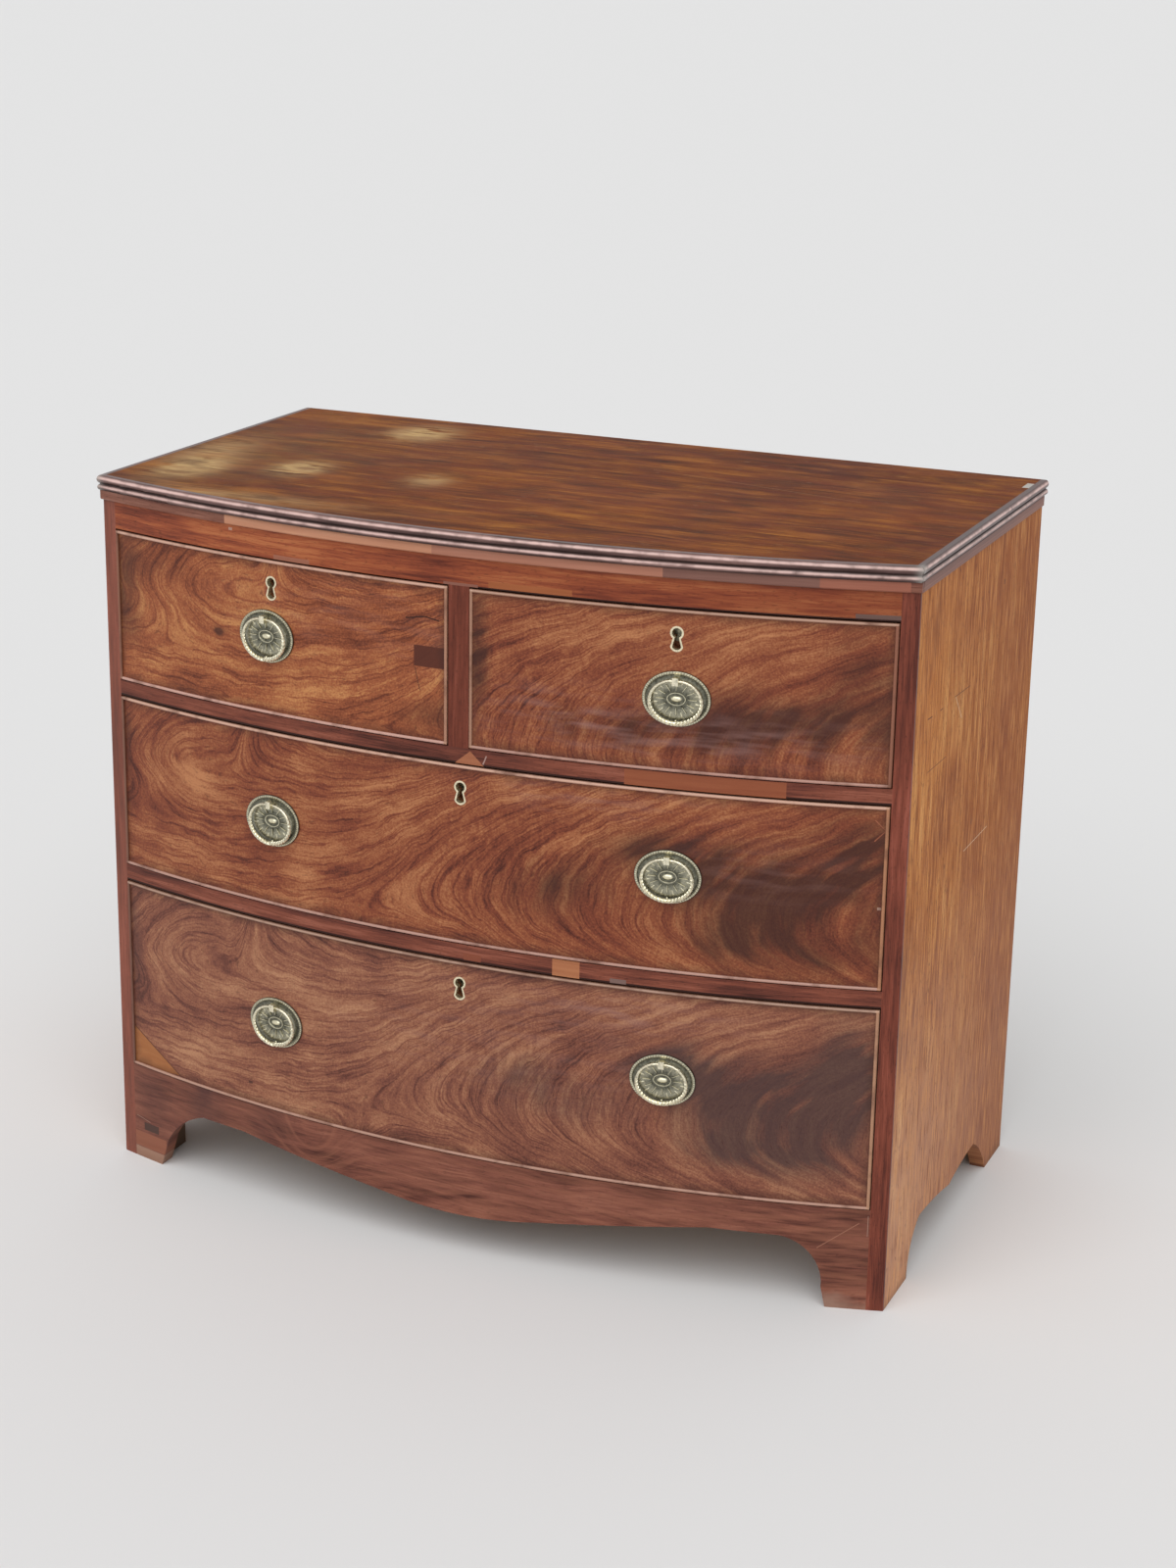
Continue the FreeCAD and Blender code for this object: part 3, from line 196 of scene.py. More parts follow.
def inside(tree, along, up, corners):
    """One inside a convex patch given by its corners, counter-clockwise; nothing outside."""
    flat = add(tree, "CombineXYZ", {0: along, 1: up})
    mask = 1.0
    for (x0, y0), (x1, y1) in zip(corners, corners[1:] + corners[:1]):
        inward = (y0 - y1, x1 - x0, 0)
        level = inward[0] * x0 + inward[1] * y0
        reach = add(tree, "VectorMath", {0: flat, 1: inward}, operation="DOT_PRODUCT")
        beyond = add(tree, "Math", {0: reach.outputs["Value"], 1: level}, operation="GREATER_THAN")
        mask = add(tree, "Math", {0: mask, 1: beyond}, operation="MULTIPLY")
    return mask


def block(left, right, low, high):
    """The corners of an upright rectangle."""
    return [(left, low), (right, low), (right, high), (left, high)]


def stroke(start, end, width):
    """The corners of a thin straight mark."""
    start, end = Vector(start), Vector(end)
    run = end - start
    aside = Vector((-run.y, run.x)).normalized() * width / 2
    return [tuple(corner) for corner in (start - aside, end - aside, end + aside, start + aside)]


def let_in(tree, colour, along, up, streaks, patches):
    """Patches of other wood and marks over a colour, each (corners, dark code, light code)."""
    for corners, dark, light in patches:
        own = stained(tree, linear(dark), streaks, light)
        mask = inside(tree, along, up, corners)
        colour = add(tree, "Mix", {0: mask, MIX_A: colour, MIX_B: own}, data_type="RGBA")
        colour = colour.outputs[MIXED]
    return colour


def stained(tree, colour, amount, code):
    """A colour drawn towards another by an amount, which the Mix node keeps from 0 to 1."""
    mixed = add(tree, "Mix", {0: amount, MIX_A: colour, MIX_B: linear(code)}, data_type="RGBA")
    return mixed.outputs[MIXED]


def tinged(tree, colour, pattern, start, full, amount, code):
    """A colour stained by nothing where a pattern is at its start, up to an amount at full."""
    share = add(tree, "MapRange", {0: pattern, 1: start, 2: full, 3: 0, 4: amount})
    return stained(tree, colour, share, code)


def behind_the_bow(tree, place):
    """How far behind the bowed face of the drawers a point lies."""
    flat = add(tree, "CombineXYZ", {0: place.x, 1: place.y})
    from_axis = add(tree, "VectorMath", {0: flat, 1: (0, BOW_AXIS, 0)}, operation="DISTANCE")
    return add(tree, "Math", {0: BOW_RADIUS, 1: from_axis.outputs["Value"]}, operation="SUBTRACT")


def paint(node, material):
    """Gives a carried-over piece its finish."""
    for slot in frame["nodes"][node].material_slots:
        slot.material = material


# ---------------- crotch veneer

# The growth lines wander: each wandering's size, and how far it carries a line along x, y and z.
WANDERINGS = [(100, (34, 0, 20)), (24, (6, 0, 9))]
# The flitch's landmarks, right of and above the middle of a long drawer.
LEVEL_END, CLIMB_FULL = -170, 40
CLIMB_START, CLIMB_EASE = -140, 160
ARROWS_START, ARROWS_FULL = -230, 10
BEND_BELOW, BEND_ABOVE = -0.022, -0.0095
FOLD_FULL, FOLD_END = -305, -222
FOLD_LEVEL, FOLD_EASE = 47, 40
LEFT_END, LEFT_EASE = -370, 60
TURN_START, TURN_FULL = -45, 25
PLAIN_TONE = 0.515
EASED = {"interpolation_type": "SMOOTHSTEP"}


def flitch_height(tree, x, z, waist):
    """The growth lines of the crotch that the drawer fronts were cut from, as a height map.

    They run level on the left, climb in the middle and end on the right as arrowheads that
    point left, their points at the waist. Above the left handle they fold round a knot, and at
    the far left they turn up.
    """
    still = add(tree, "CombineXYZ", {0: x, 2: z})
    moved = still
    for size, reach in WANDERINGS:
        drift = add(tree, "TexNoise", {"Vector": still, "Scale": 1 / size}).outputs["Color"]
        drift = add(tree, "VectorMath", {0: drift, 1: (0.5, 0.5, 0.5)}, operation="SUBTRACT")
        moved = add(tree, "VectorMath", {0: drift, 1: reach, 2: moved}, operation="MULTIPLY_ADD")
    x, _, z = add(tree, "SeparateXYZ", {0: moved}).outputs
    climb = add(tree, "Math", {0: x, 1: CLIMB_START, 2: CLIMB_EASE}, operation="SMOOTH_MAX")
    level = add(tree, "MapRange", {0: x, 1: LEVEL_END, 2: CLIMB_FULL, 3: -1, 4: 0}, **EASED)
    height = add(tree, "Math", {0: level, 1: z, 2: climb}, operation="MULTIPLY_ADD")
    rise = add(tree, "Math", {0: z, 1: waist}, operation="SUBTRACT")
    square = add(tree, "Math", {0: rise, 1: rise}, operation="MULTIPLY")
    bend = add(tree, "MapRange", {0: rise, 1: -1, 2: 1, 3: BEND_BELOW, 4: BEND_ABOVE})
    share = add(tree, "MapRange", {0: x, 1: ARROWS_START, 2: ARROWS_FULL}, **EASED)
    bend = add(tree, "Math", {0: bend, 1: share}, operation="MULTIPLY")
    height = add(tree, "Math", {0: bend, 1: square, 2: height}, operation="MULTIPLY_ADD")
    over = add(tree, "Math", {0: z, 1: FOLD_LEVEL, 2: FOLD_EASE}, operation="SMOOTH_MAX")
    over = add(tree, "Math", {0: over, 1: FOLD_LEVEL}, operation="SUBTRACT")
    fold = add(tree, "MapRange", {0: x, 1: FOLD_FULL, 2: FOLD_END, 3: 2, 4: 0}, **EASED)
    height = add(tree, "Math", {0: fold, 1: over, 2: height}, operation="MULTIPLY_ADD")
    beyond = add(tree, "Math", {0: x, 1: -1, 2: LEFT_END}, operation="MULTIPLY_ADD")
    beyond = add(tree, "Math", {0: beyond, 1: 0, 2: LEFT_EASE}, operation="SMOOTH_MAX")
    turn = add(tree, "MapRange", {0: z, 1: TURN_START, 2: TURN_FULL, 3: 0, 4: 0.8}, **EASED)
    return add(tree, "Math", {0: turn, 1: beyond, 2: height}, operation="MULTIPLY_ADD")


def edge_grime(tree, place, row):
    """From one at a drawer front's edges to nothing at its reach, uneven as old wax is."""
    left, right, low, high = row_edges(row)
    nearest = add(tree, "Math", {0: place.x, 1: left}, operation="SUBTRACT")
    for more, less in ((right, place.x), (place.z, low), (high, place.z)):
        gap = add(tree, "Math", {0: more, 1: less}, operation="SUBTRACT")
        nearest = add(tree, "Math", {0: nearest, 1: gap}, operation="MINIMUM")
    nearest = weigh(tree, nearest, (blotches(tree, place, 22, 3), -16))
    return add(tree, "MapRange", {0: nearest, 1: 1, 2: GRIME_REACH, 3: 1, 4: 0})


def growth_lines(tree, height, place, x):
    """Thin dark lines between a year's wood and the next, plain on the left of the flitch."""
    years = grain(tree, height, place.x, place.z, 10, 190)
    years = add(tree, "Math", {0: years, 1: 0.5}, operation="SUBTRACT")
    years = add(tree, "Math", {0: years}, operation="ABSOLUTE")
    lines = add(tree, "MapRange", {0: years, 1: 0, 2: 0.045, 3: 1, 4: 0})
    plain = add(tree, "MapRange", {0: x, 1: 100, 2: 300, 3: 1, 4: 0.3})
    return add(tree, "Math", {0: lines, 1: plain}, operation="MULTIPLY")


def cross_ripples(tree, place, x, z):
    """A plain tone with fine upright ripples across the grain in the middle of the flitch."""
    ripple = blotches(tree, place, (6, 0, 20))
    ripple = add(tree, "Math", {0: ripple, 1: 0.5}, operation="SUBTRACT")
    middle = bell(tree, x, z, (70, 0), (140, 75))
    ripple = add(tree, "Math", {0: ripple, 1: middle}, operation="MULTIPLY")
    return add(tree, "Math", {0: ripple, 1: 0.5, 2: PLAIN_TONE}, operation="MULTIPLY_ADD")


def on_its_core(tree, place, colour):
    """Veneer with the sawn core behind it, brown with long level streaks."""
    core = add(tree, "Math", {0: behind_the_bow(tree, place), 1: VENEER_THICKNESS},
               operation="GREATER_THAN")
    sawn = grain(tree, place.z, place.x, place.x, 5, 160, 3)
    sawn = add(tree, "ValToRGB", {0: sawn}, stops=[
        (0.3, "#5C3826"), (0.5, "#764A31"), (0.7, "#906242")])
    return add(tree, "Mix", {0: core, MIX_A: colour, MIX_B: sawn}, data_type="RGBA").outputs[MIXED]


def flame_mahogany(row, codes, smoke_code, smokes, lights, patches, bloom_and_reflection_spots, shift=0, waist=-40):
    """Crotch mahogany veneer, French polished long ago, on an older core.

    The polish has sunk, so the sheen is soft, and has bloomed in pale level streaks; below the right
    short drawer's handle the pale streaks are painted reflections. The figure swings from orange to
    smoky brown. Real pores are 0.3 mm wide, drawn at 1.3 mm.
    """
    low, high = row_edges(row)[2:]
    material, tree, principled = new_material(f"flame_mahogany_{row}", Specular_IOR_Level=0.22)
    place = Place(tree)
    x = add(tree, "Math", {0: place.x, 1: shift}, operation="SUBTRACT")
    z = add(tree, "Math", {0: place.z, 1: (low + high) / 2}, operation="SUBTRACT")
    height = flitch_height(tree, x, z, waist)
    bands, streaks, fibres, wisps, pores = (
        grain(tree, height, place.x, place.z, *sizes)
        for sizes in ((20, 110), (4.6, 46, 3), (1.6, 16), (30, 110, 3), (1.3, 9, 1)))
    clouds = blotches(tree, place, 80, 3)
    speckle = blotches(tree, place, 2.2)
    tone = weigh(tree, bells(tree, x, z, lights), (bands, 0.85), (streaks, 0.4), (fibres, 0.36),
                 (clouds, 0.65), (speckle, 0.6), (growth_lines(tree, height, place, x), -0.25))
    tone = add(tree, "Math", {0: tone, 1: cross_ripples(tree, place, x, z)}, operation="ADD")
    colour = add(tree, "ValToRGB", {0: tone}, stops=list(zip((0.08, 0.33, 0.49, 0.67, 1), codes)))
    smoke = weigh(tree, 1.0, (wisps, 2.8), (clouds, 2.2), (streaks, 0.6))
    smoke = add(tree, "Math", {0: smoke, 1: bells(tree, x, z, smokes)}, operation="MULTIPLY")
    smoke = add(tree, "Math", {0: smoke, 1: 0.12}, operation="SUBTRACT")
    smoke = add(tree, "Math", {0: smoke, 1: 0.85}, operation="MINIMUM")
    colour = stained(tree, colour, smoke, smoke_code)
    colour = tinged(tree, colour, pores, 0.38, 0.28, 0.4, "#3A1B14")
    # Pale level streaks: bloom in the polish, and painted reflections below the right short drawer's
    # handle.
    bloom_and_painted_reflection = blotches(tree, place, (55, 0, 9))
    bloom_and_painted_reflection = add(tree, "MapRange", {0: bloom_and_painted_reflection, 1: 0.44, 2: 0.72, 3: 0, 4: 0.5})
    bloom_and_painted_reflection = add(tree, "Math", {0: bloom_and_painted_reflection, 1: bells(tree, x, z, bloom_and_reflection_spots)}, operation="MULTIPLY")
    colour = stained(tree, colour, bloom_and_painted_reflection, "#9A746E")
    colour = let_in(tree, colour, place.x, place.z, streaks, patches)
    grime = edge_grime(tree, place, row)
    grime = add(tree, "Math", {0: grime, 1: 0.55}, operation="MULTIPLY")
    colour = stained(tree, colour, grime, "#3A211B")
    rough = weigh(tree, 0.4, (clouds, 0.15), (fibres, 0.15))
    wire(tree, principled, on_its_core(tree, place, colour), rough, fibres, 0.35, 0.25)
    return material


# The long drawers' smoky and light places, and the shades of each drawer from dark to light.
SMOKES = [(1.15, (335, 5), (95, 42)), (0.85, (240, 34), (60, 22)), (0.95, (435, 45), (42, 48)),
          (0.55, (105, -20), (85, 42)), (0.75, (330, -62), (80, 26)), (0.5, (-452, 40), (14, 60)),
          (0.45, (410, -45), (60, 50))]
LIGHTS = [(0.2, (-370, 35), (70, 35)), (0.2, (-180, 35), (90, 28)), (-0.2, (-448, 20), (18, 70)),
          (0.12, (130, 88), (170, 22)), (0.1, (-300, -60), (140, 24))]
ORANGE = ["#461F15", "#69331F", "#804329", "#985534", "#C08452"]
RED = ["#411A13", "#622F20", "#7A3D29", "#8E5033", "#B57951"]
ROSE = ["#46261F", "#63382D", "#784738", "#8C5842", "#B07E5E"]

# The left short drawer kept most of its orange, with a brown knot and a dark patch let in.
paint("drawer_top_left_front", flame_mahogany(
    "top_left", ORANGE, "#43231B",
    [(0.75, (-496, 10), (26, 60)), (0.5, (-470, 60), (70, 22)), (0.5, (-60, 10), (24, 16)),
     (1.8, (-353, -4), (5, 4)), (0.6, (-350, 2), (14, 9)), (0.5, (-75, -60), (40, 22))],
    [(0.16, (-340, -10), (110, 45)), (0.06, (-150, -50), (120, 25))],
    [(block(-53, -16, 678, 701), "#4C2319", "#5E3022"),
     (stroke((-63, 729), (-40, 733), 1.3), "#2A1510", "#3A1F18"),
     (stroke((-40, 733), (-23, 730), 1.3), "#2A1510", "#3A1F18"),
     (stroke((-52, 677), (-46, 652), 0.9), "#4A261C", "#5A3222")],
    [(0.4, (-160, 40), (150, 40))], shift=45))
# The right short drawer is redder, and the pale streaks below its handle are painted reflections.
paint("drawer_top_right_front", flame_mahogany(
    "top_right", RED, "#3E211B",
    [(1.0, (345, -30), (100, 38)), (0.7, (180, -45), (90, 24)), (0.8, (24, 20), (12, 70)),
     (0.6, (430, 20), (40, 60))],
    [(0.08, (200, 60), (190, 24))], [],
    [(1.0, (250, -48), (170, 24)), (0.5, (110, -30), (70, 26))], waist=-75))
# The two long drawers share a flitch: plumes on the left, smoky arrowheads on the right.
paint("drawer_middle_front", flame_mahogany(
    "middle", RED, "#3B201A", SMOKES, LIGHTS,
    [(stroke((446, 537), (457, 549), 1.0), "#8E5038", "#A06448"),
     (stroke((457, 549), (446, 560), 1.0), "#8E5038", "#A06448"),
     (block(452, 456, 462, 465), "#A08070", "#B89888")],
    [(0.6, (150, 82), (120, 16)), (0.4, (330, 20), (90, 30))]))
paint("drawer_bottom_front", flame_mahogany(
    "bottom", ROSE, "#443130", SMOKES, LIGHTS,
    [([(-457, 171), (-457, 119), (-382, 125)], "#5E3424", "#6E402C"),
     ([(-457, 169), (-457, 119), (-385, 125)], "#8E522C", "#AC7244"),
     (block(-279, -273, 145, 148), "#4E2E24", "#5A362A")],
    [(0.8, (190, 84), (100, 18)), (0.35, (60, 30), (200, 60))]))


# ---------------- solid mahogany

def straight_wood(name, run, cross, codes, pitch, rough, specular=0.2, wander=6.0, marks=None,
                  pore=(1.3, 9, 0.35, "#341A13")):
    """Straight-grained wood; run is the axis the grain follows, cross the one it varies over.

    codes are its shades from dark to light, and pitch is the spacing of its streaks. pore says
    how wide and long its open pores are, how plain and what colour. They are drawn a few times
    wider than the real 0.3 mm.
    """
    material, tree, principled = new_material(name, Specular_IOR_Level=specular)
    place = Place(tree)
    along = getattr(place, run)
    height = weigh(tree, getattr(place, cross), (blotches(tree, place, 140), wander))
    wide, long, plain, pore_code = pore
    bands, streaks, fibres, pores = (
        grain(tree, height, along, along, *sizes)
        for sizes in ((pitch * 4, 300), (pitch, 120, 3), (pitch / 4, 40), (wide, long, 1)))
    clouds = blotches(tree, place, 110)
    tone = weigh(tree, 0.5, (bands, 1.0), (streaks, 1.0), (fibres, 0.8), (clouds, 0.7))
    colour = add(tree, "ValToRGB", {0: tone}, stops=list(zip((0.15, 0.4, 0.6, 0.85), codes)))
    colour = tinged(tree, colour, pores, 0.39, 0.31, plain, pore_code)
    if marks:
        colour = marks(tree, place, colour, streaks)
    rough = weigh(tree, rough, (clouds, 0.15), (fibres, 0.15))
    wire(tree, principled, colour, rough, fibres, 0.4, 0.3)
    return material


def top_marks(tree, place, colour, streaks):
    """A sunburnt, much used top: painted reflections as pale patches at its front left, dark marks,
    dry pores.
    """
    blotch = blotches(tree, place, (48, 26, 0), 5)
    # Pale patches at the front left are painted reflections.
    painted_reflection = bells(tree, place.x, place.y, [
        (1.5, (-412, -115), (32, 56)), (1.8, (-300, -65), (25, 34)), (1.5, (-272, 190), (34, 40)),
        (0.8, (-140, -57), (24, 30)), (0.6, (-440, -20), (36, 80)), (0.5, (-300, -230), (150, 25))])
    olive = bells(tree, place.x, place.y, [(0.45, (-380, 0), (110, 190))])
    colour = stained(tree, colour, olive, "#745634")
    painted_reflection = add(tree, "Math", {0: painted_reflection, 1: weigh(tree, 0.85, (blotch, 5.0), (streaks, 2.0))},
               operation="MULTIPLY")
    painted_reflection = add(tree, "Math", {0: painted_reflection, 1: 0.88}, operation="MINIMUM")
    colour = stained(tree, colour, painted_reflection, "#CBAA74")
    warm = bells(tree, place.x, place.y, [(0.4, (410, 20), (60, 50)), (0.2, (60, -60), (200, 90))])
    colour = stained(tree, colour, warm, "#96501F")
    dark = bells(tree, place.x, place.y, [
        (0.9, (-315, -187), (26, 18)), (0.5, (455, -100), (30, 110)), (0.6, (330, 210), (190, 60)),
        (0.4, (200, 60), (120, 40)), (0.3, (-60, 120), (90, 60))])
    dark = add(tree, "Math", {0: dark, 1: weigh(tree, 0.8, (blotch, 4))}, operation="MULTIPLY")
    colour = stained(tree, colour, dark, "#40190F")
    colour = tinged(tree, colour, blotch, 0.42, 0.62, 0.5, "#6E3018")
    oil = blotches(tree, place, (90, 34, 0), 4)
    colour = tinged(tree, colour, oil, 0.46, 0.34, 0.5, "#46200F")
    colour = tinged(tree, colour, oil, 0.54, 0.7, 0.45, "#A2622A")
    scuffs = grain(tree, place.y, place.x, place.x, 2.2, 26)
    colour = tinged(tree, colour, scuffs, 0.67, 0.74, 0.35, "#A98A68")
    return let_in(tree, colour, place.x, place.y, streaks, [
        (block(466, 477, 224, 250), "#A9A39C", "#C2BDB6"),
        (stroke((-120, -140), (140, -175), 0.9), "#5A3420", "#6A4028"),
        (stroke((60, 120), (330, 60), 0.8), "#8F6647", "#A0744F")])


def faded_side(tree, place, colour, streaks):
    """A side bleached by the sun: orange above and pinkish grey below, with a painted pool of light at
    its top front and painted shade that darkens and reddens it towards the back.

    It has dark dents, and long streaks that are dry and pale or sooty. Its feet are dirty.
    """
    blotch = blotches(tree, place, 60, 3)
    low = weigh(tree, place.z, (blotch, 160))
    colour = tinged(tree, colour, low, 460, 130, 0.55, "#D0A68E")
    # Painted shade: darker and redder towards the back.
    painted_back_shade = weigh(tree, place.y, (blotch, 60))
    colour = tinged(tree, colour, painted_back_shade, -160, 180, 0.6, "#8C4820")
    # Painted light: a bright patch at the top front.
    painted_front_light = bells(tree, place.y, place.z, [(0.4, (-150, 690), (70, 110))])
    colour = stained(tree, colour, painted_front_light, "#C88040")
    dents = blotches(tree, place, (0, 3.5, 10), 3)
    colour = tinged(tree, colour, dents, 0.37, 0.28, 0.75, "#5E3624")
    long = blotches(tree, place, (0, 4, 45), 5)
    colour = tinged(tree, colour, long, 0.5, 0.66, 0.5, "#D8985C")
    colour = tinged(tree, colour, long, 0.47, 0.33, 0.6, "#7E4424")
    foot = weigh(tree, place.z, (blotch, 40), (long, 30))
    return tinged(tree, colour, foot, 16, -8, 0.7, "#6A4A3A")


def scratched_side(tree, place, colour, streaks):
    """The right side, which has stood in the open: scratches, scores and two small knots."""
    colour = faded_side(tree, place, colour, streaks)
    worn = "#C8A98A", "#D8BEA2"
    scored = "#6A3E2A", "#7E5038"
    return let_in(tree, colour, place.y, place.z, streaks, [
        (stroke((-150, 657), (-133, 656), 1.4), *scored),
        (stroke((-105, 655), (-95, 655), 1.4), *scored),
        (stroke((-50, 656), (7, 654), 1.0), *scored),
        (stroke((-47, 655), (-20, 625), 1.0), *worn),
        (stroke((-140, 597), (-73, 596), 0.9), *scored),
        (stroke((20, 461), (113, 462), 0.9), *worn),
        (block(123, 127, 741, 747), *scored),
        (block(43.5, 46.5, 485, 491), *scored)])


def back_marks(tree, place, colour, streaks):
    """Four sawn boards, each from its own tree, dusty at their joints and with a few knots."""
    across = add(tree, "Math", {0: place.x, 1: BACK_BOARD * 2}, operation="ADD")
    across = add(tree, "Math", {0: across, 1: BACK_BOARD}, operation="DIVIDE")
    board = add(tree, "Math", {0: across}, operation="FLOOR")
    tree_tone = add(tree, "TexWhiteNoise", {"W": board}, noise_dimensions="1D")
    tree_tone = add(tree, "Math", {0: tree_tone, 1: 0.35}, operation="MULTIPLY")
    colour = stained(tree, colour, tree_tone, "#6E5036")
    joint = add(tree, "Math", {0: across, 1: 0.5, 2: 0.5}, operation="PINGPONG")
    joint = add(tree, "MapRange", {0: joint, 1: 0.0, 2: 0.03, 3: 0.6, 4: 0})
    colour = stained(tree, colour, joint, "#33261A")
    sawn = grain(tree, place.z, place.x, place.x, 2.5, 60, 1)
    colour = tinged(tree, colour, sawn, 0.42, 0.3, 0.2, "#4E3B28")
    knots = bells(tree, place.x, place.z, [
        (0.9, (-362, 604), (9, 14)), (0.9, (-131, 292), (7, 11)), (0.8, (86, 531), (10, 15)),
        (0.9, (297, 188), (8, 12)), (0.8, (371, 688), (6, 9)), (0.8, (-402, 214), (6, 9))])
    return stained(tree, colour, knots, "#3E2415")


def apron_marks(tree, place, colour, streaks):
    """The apron's veneer is pieced: a smoky strip by the left foot, curls, patches on the feet."""
    height = bells(tree, place.x, place.z, [(60, (-190, 95), (45, 45)), (-40, (60, 60), (120, 40))])
    height = add(tree, "Math", {0: height, 1: place.z}, operation="ADD")
    curls = grain(tree, height, place.x, place.z, 7, 60, 3)
    colour = tinged(tree, colour, curls, 0.4, 0.75, 0.55, "#97604A")
    blotch = blotches(tree, place, 40, 3)
    smoke = bells(tree, place.x, place.z, [
        (0.85, (-345, 100), (24, 60)), (0.5, (-430, 75), (35, 40)), (0.4, (-250, 100), (30, 40))])
    smoke = add(tree, "Math", {0: smoke, 1: weigh(tree, 0.8, (blotch, 2.0))}, operation="MULTIPLY")
    colour = stained(tree, colour, smoke, "#472C2A")
    worn = weigh(tree, place.z, (blotch, 60), (streaks, 20))
    colour = tinged(tree, colour, worn, 16, -4, 0.75, "#9A7A6A")
    return let_in(tree, colour, place.x, place.z, streaks, [
        (block(-446, -422, 37, 47), "#46302A", "#523A32"),
        (block(-464, -410, 14, 33), "#7E4A36", "#98604A"),
        (block(-464, -412, 0, 13), "#86604E", "#A27E6A"),
        (stroke((-458, 53), (-436, 49), 0.9), "#8A6456", "#A07A6A"),
        (stroke((407, 70), (450, 103), 0.9), "#8A5A48", "#A0705A"),
        (stroke((459, 88), (459, 112), 0.8), "#8A685C", "#9A7868")])


def rail_marks(tree, place, colour, streaks):
    """Rails mended where drawers have worn them, with painted shadow along their lower edges from the
    gaps above the drawers.
    """
    return let_in(tree, colour, place.x, place.z, streaks, [
        # Painted shadow: black strips along the rails' lower edges.
        (block(-461, 461, 576, 579), "#2A130E", "#3A1D16"),
        (block(-461, 461, 351, 354.5), "#2A130E", "#3A1D16"),
        ([(-4, 577), (30, 577), (14, 592)], "#8E5238", "#AC7050"),
        (block(187, 356, 577, 594), "#7C3E28", "#9A5A3C"),
        (stroke((29, 579), (33, 589), 1.4), "#9A7A70", "#B0928A"),
        (block(111, 142, 352, 372), "#96583A", "#B67A54"),
        (block(7, 28, 354, 362), "#78402E", "#8C4E38"),
        (block(176, 194, 353, 358), "#6E5650", "#80665E")])


def frieze_marks(tree, place, colour, streaks):
    """The frieze is painted darker rightwards as shade, is worn along its lower edge with a painted
    shadow line there, and is scraped at its right.
    """
    # Painted shade: darker towards the right.
    colour = tinged(tree, colour, place.x, -250, 430, 0.42, "#5C2214")
    return let_in(tree, colour, place.x, place.z, streaks, [
        (block(34, 127, 770, 779), "#8A4A2A", "#A2603A"),
        (block(-230, -183, 770, 776), "#8C5440", "#A06A54"),
        (block(417, 461, 772, 777), "#5E4640", "#705850"),
        (block(-18, 22, 770, 774), "#7A4C3E", "#8E6052"),
        # Painted shadow: a black line along the lower edge, right of the middle.
        (block(22, 461, 770, 772.4), "#2A130E", "#3A1D16"),
        (block(-291, -286, 795, 798), "#A07A6C", "#B89484")])


def stile_marks(tree, place, colour, streaks):
    """The left stile has faded more than the right one, and the post is the darkest."""
    faded = add(tree, "Math", {0: place.x, 1: -400}, operation="LESS_THAN")
    faded = add(tree, "Math", {0: faded, 1: 0.2}, operation="MULTIPLY")
    colour = stained(tree, colour, faded, "#A46E5C")
    post = bell(tree, place.x, 0.0, (0, 0), (60, 1))
    post = add(tree, "Math", {0: post, 1: 0.3}, operation="MULTIPLY")
    return stained(tree, colour, post, "#50200F")


def reed_marks(tree, place, colour, streaks):
    """Reeds with painted highlights as pale lines on their noses, and painted shade in the groove
    between them.
    """
    knocks = blotches(tree, place, 14, 4)
    # Painted highlights along the reeds' noses, broken up by knocks.
    painted_nose_highlights = bells(tree, place.z, 0.0, [(1.0, (827.2, 0), (1.4, 1)), (1.0, (817.9, 0), (1.5, 1))])
    rubbed = weigh(tree, 0.95, (knocks, 2.4), (streaks, 0.5))
    rubbed = add(tree, "Math", {0: painted_nose_highlights, 1: rubbed}, operation="MULTIPLY")
    rubbed = add(tree, "Math", {0: rubbed, 1: 0.95}, operation="MINIMUM")
    colour = stained(tree, colour, rubbed, "#DCBAB2")
    # Painted shade in the grooves between the reeds.
    painted_groove_shade = bells(tree, place.z, 0.0, [(1.0, (820.9, 0), (1.9, 1)), (0.8, (813.5, 0), (1.4, 1))])
    colour = stained(tree, colour, painted_groove_shade, "#2A1815")
    bare = bells(tree, place.x, place.y, [(0.8, (483, -206), (7, 12)), (0.7, (-483, -206), (7, 12))])
    return stained(tree, colour, bare, "#A29C96")


def band_marks(tree, place, colour, streaks):
    """The band under the top, pieced out with strips of other shades, all but its left end."""
    return let_in(tree, colour, place.x, place.z, streaks, [
        (block(-294, -30, 795, 820), "#AE7256", "#CC9678"),
        (block(-30, 224, 795, 820), "#9A6450", "#B8806A"),
        (block(224, 382, 795, 820), "#704A42", "#8A6458"),
        (block(382, 470, 795, 820), "#8A5040", "#A46A56")])


